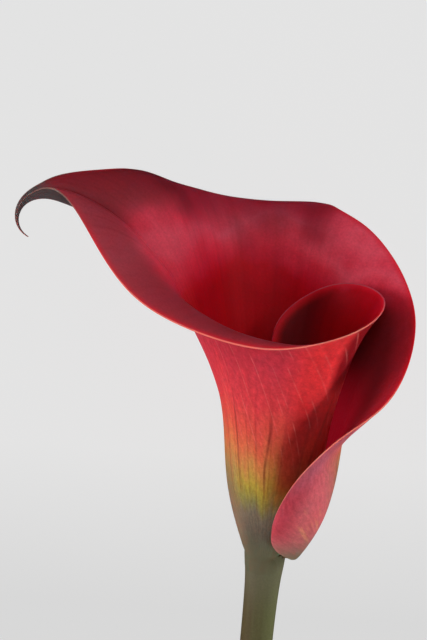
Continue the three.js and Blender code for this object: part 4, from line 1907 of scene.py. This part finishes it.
@dataclass
class Studio:
    """A pale floor, soft light and the camera."""

    # the camera, and where the photograph shows the foot of the spathe
    elevation: float = 20.0
    roll: float = 3.9
    distance: float = 900.0
    mm_per_pixel: float = 0.25
    foot_pixel: Span = (267.0, 556.0)
    sight_metres: float = 50.0

    # the floor, which glows by itself, a little less beside the stem, up to a place along Y
    floor_size: float = 6000.0
    floor_colour: Colour = srgb(100, 100, 100)
    floor_glow: float = 6.03
    floor_dusk: float = 0.89
    floor_dusk_from: float = -12.0
    floor_dusk_to: float = 30.0
    floor_cloud_scale: float = 6.0
    floor_cloud_light: float = 0.985

    sky: float = 0.06
    middle: tuple[float, float, float] = (-8.0, 0.0, 60.0)
    lamps: tuple[Lamp, ...] = (
        Lamp("front_high", 5.0, 40.0, size=500.0, power=3.9),
        Lamp("left_window", -66.0, 6.0, size=400.0, power=6.0),
        Lamp("right_window", 72.0, 32.0, size=400.0, power=3.4),
        Lamp("low_left", -72.0, -43.0, size=300.0, power=6.0, mirrored=False),
        Lamp("low_right", 75.0, -38.0, size=160.0, power=7.0, mirrored=False),
    )

    def camera(self) -> bpy.types.Object:
        """Sets the camera at the photograph's angle.

        Returns:
            The camera.
        """
        e, r = math.radians(self.elevation), math.radians(self.roll)
        level = np.array((1.0, 0.0, 0.0))
        rise = np.array((0.0, math.sin(e), math.cos(e)))
        view = np.array((0.0, math.cos(e), -math.sin(e)))
        right = level * math.cos(r) + rise * math.sin(r)
        up = rise * math.cos(r) - level * math.sin(r)
        x = (PHOTO_WIDTH / 2 - self.foot_pixel[0]) * self.mm_per_pixel
        y = (self.foot_pixel[1] - PHOTO_HEIGHT / 2) * self.mm_per_pixel
        aim = level * (x * math.cos(r) - y * math.sin(r))
        aim[2] = (x * math.sin(r) + y * math.cos(r)) / math.cos(e)
        place = LYING.metres(aim - view * self.distance)
        axes = [LYING.direction(axis) for axis in (right, up, -view)]
        data = bpy.data.cameras.new("photo_camera")
        data.sensor_width = SENSOR_MM
        data.lens = self.distance / self.mm_per_pixel * SENSOR_MM / PHOTO_HEIGHT
        data.clip_end = self.sight_metres
        made = linked(bpy.data.objects.new("photo_camera", data))
        columns = np.column_stack((*axes, place))
        made.matrix_world = Matrix([*columns.tolist(), (0, 0, 0, 1)])
        bpy.context.scene.camera = made
        return made

    def floor_card(self) -> bpy.types.Material:
        """Builds the floor's material.

        Returns:
            The material.
        """
        made = Material("floor_card")
        g = made.graph
        place = g.place()
        noise = g.noise(place, self.floor_cloud_scale)
        cloud = g.between(noise, NOISE_SPAN, (self.floor_cloud_light, 1.0))
        y = g.node("ShaderNodeSeparateXYZ", {0: place}).outputs[1]
        dusk = g.between(y, (self.floor_dusk_from * MM, self.floor_dusk_to * MM), (self.floor_dusk, 1.0))
        light = g.product(cloud, dusk)
        colour = g.lit(self.floor_colour, light)
        made.set(Base_Color=colour, Roughness=0.9, Specular_IOR_Level=0.1)
        made.set(Emission_Color=colour, Emission_Strength=self.floor_glow)
        return made.material

    def floor(self) -> bpy.types.Object:
        """Lays the pale floor.

        Returns:
            The floor.
        """
        half = self.floor_size / 2 * MM
        corners = [(-half, -half, 0), (half, -half, 0), (half, half, 0), (-half, half, 0)]
        mesh = bpy.data.meshes.new("floor")
        mesh.from_pydata(corners, [], [(0, 1, 2, 3)])
        mesh.materials.append(self.floor_card())
        floor = linked(bpy.data.objects.new("floor", mesh))
        floor.visible_diffuse = floor.visible_glossy = False
        return floor

    def world(self) -> None:
        """Lights everything softly from all round."""
        world = bpy.data.worlds.new("soft_sky")
        world.use_nodes = True
        background = world.node_tree.nodes["Background"]
        background.inputs["Color"].default_value = (1.0, 1.0, 1.0, 1.0)
        background.inputs["Strength"].default_value = self.sky
        world.cycles_visibility.glossy = False
        bpy.context.scene.world = world
        bpy.context.scene.view_settings.view_transform = "Standard"

    def lamp(self, plan: Lamp, flower: bpy.types.Collection) -> bpy.types.Object:
        """Sets up one lamp.

        Args:
            plan: the lamp.
            flower: the flower's pieces.

        Returns:
            The lamp's object.
        """
        a, e = math.radians(plan.azimuth), math.radians(plan.elevation)
        toward = np.array((math.sin(a) * math.cos(e), -math.cos(a) * math.cos(e), math.sin(e)))
        data = bpy.data.lights.new(plan.name, "AREA")
        data.shape = "DISK"
        data.size = plan.size * MM
        data.energy = plan.power
        made = linked(bpy.data.objects.new(plan.name, data))
        made.location = LYING.metres(np.array(self.middle) + toward * plan.distance)
        made.rotation_mode = "QUATERNION"
        made.rotation_quaternion = Vector(LYING.direction(toward)).to_track_quat("Z", "Y")
        made.visible_glossy = plan.mirrored
        made.light_linking.receiver_collection = flower
        return made

    def build(self, pieces: list[bpy.types.Object]) -> None:
        """Sets up the studio round the flower.

        Args:
            pieces: the flower's pieces.
        """
        flower = bpy.data.collections.new("flower")
        for made in pieces:
            flower.objects.link(made)
        self.camera()
        self.floor()
        self.world()
        for plan in self.lamps:
            self.lamp(plan, flower)


def report(made: bpy.types.Object) -> bpy.types.Object:
    """Logs a piece's name and how many faces it has."""
    log.info("built %s with %d faces", made.name, len(made.data.polygons))
    return made


def main() -> None:
    """Builds the flower piece by piece, then the studio."""
    logging.basicConfig(level=logging.INFO, format="%(name)s: %(message)s")
    veins, grain, tone = Veins().build(), Grain().build(), StemTone().build()
    pieces = [
        report(Spathe(SpatheFinish(veins, grain, tone)).build()),
        report(Stem(StemFinish(grain, tone)).build()),
        report(Spadix(SpadixFinish(grain)).build()),
    ]
    Studio().build(pieces)


if __name__ == "__main__":
    main()
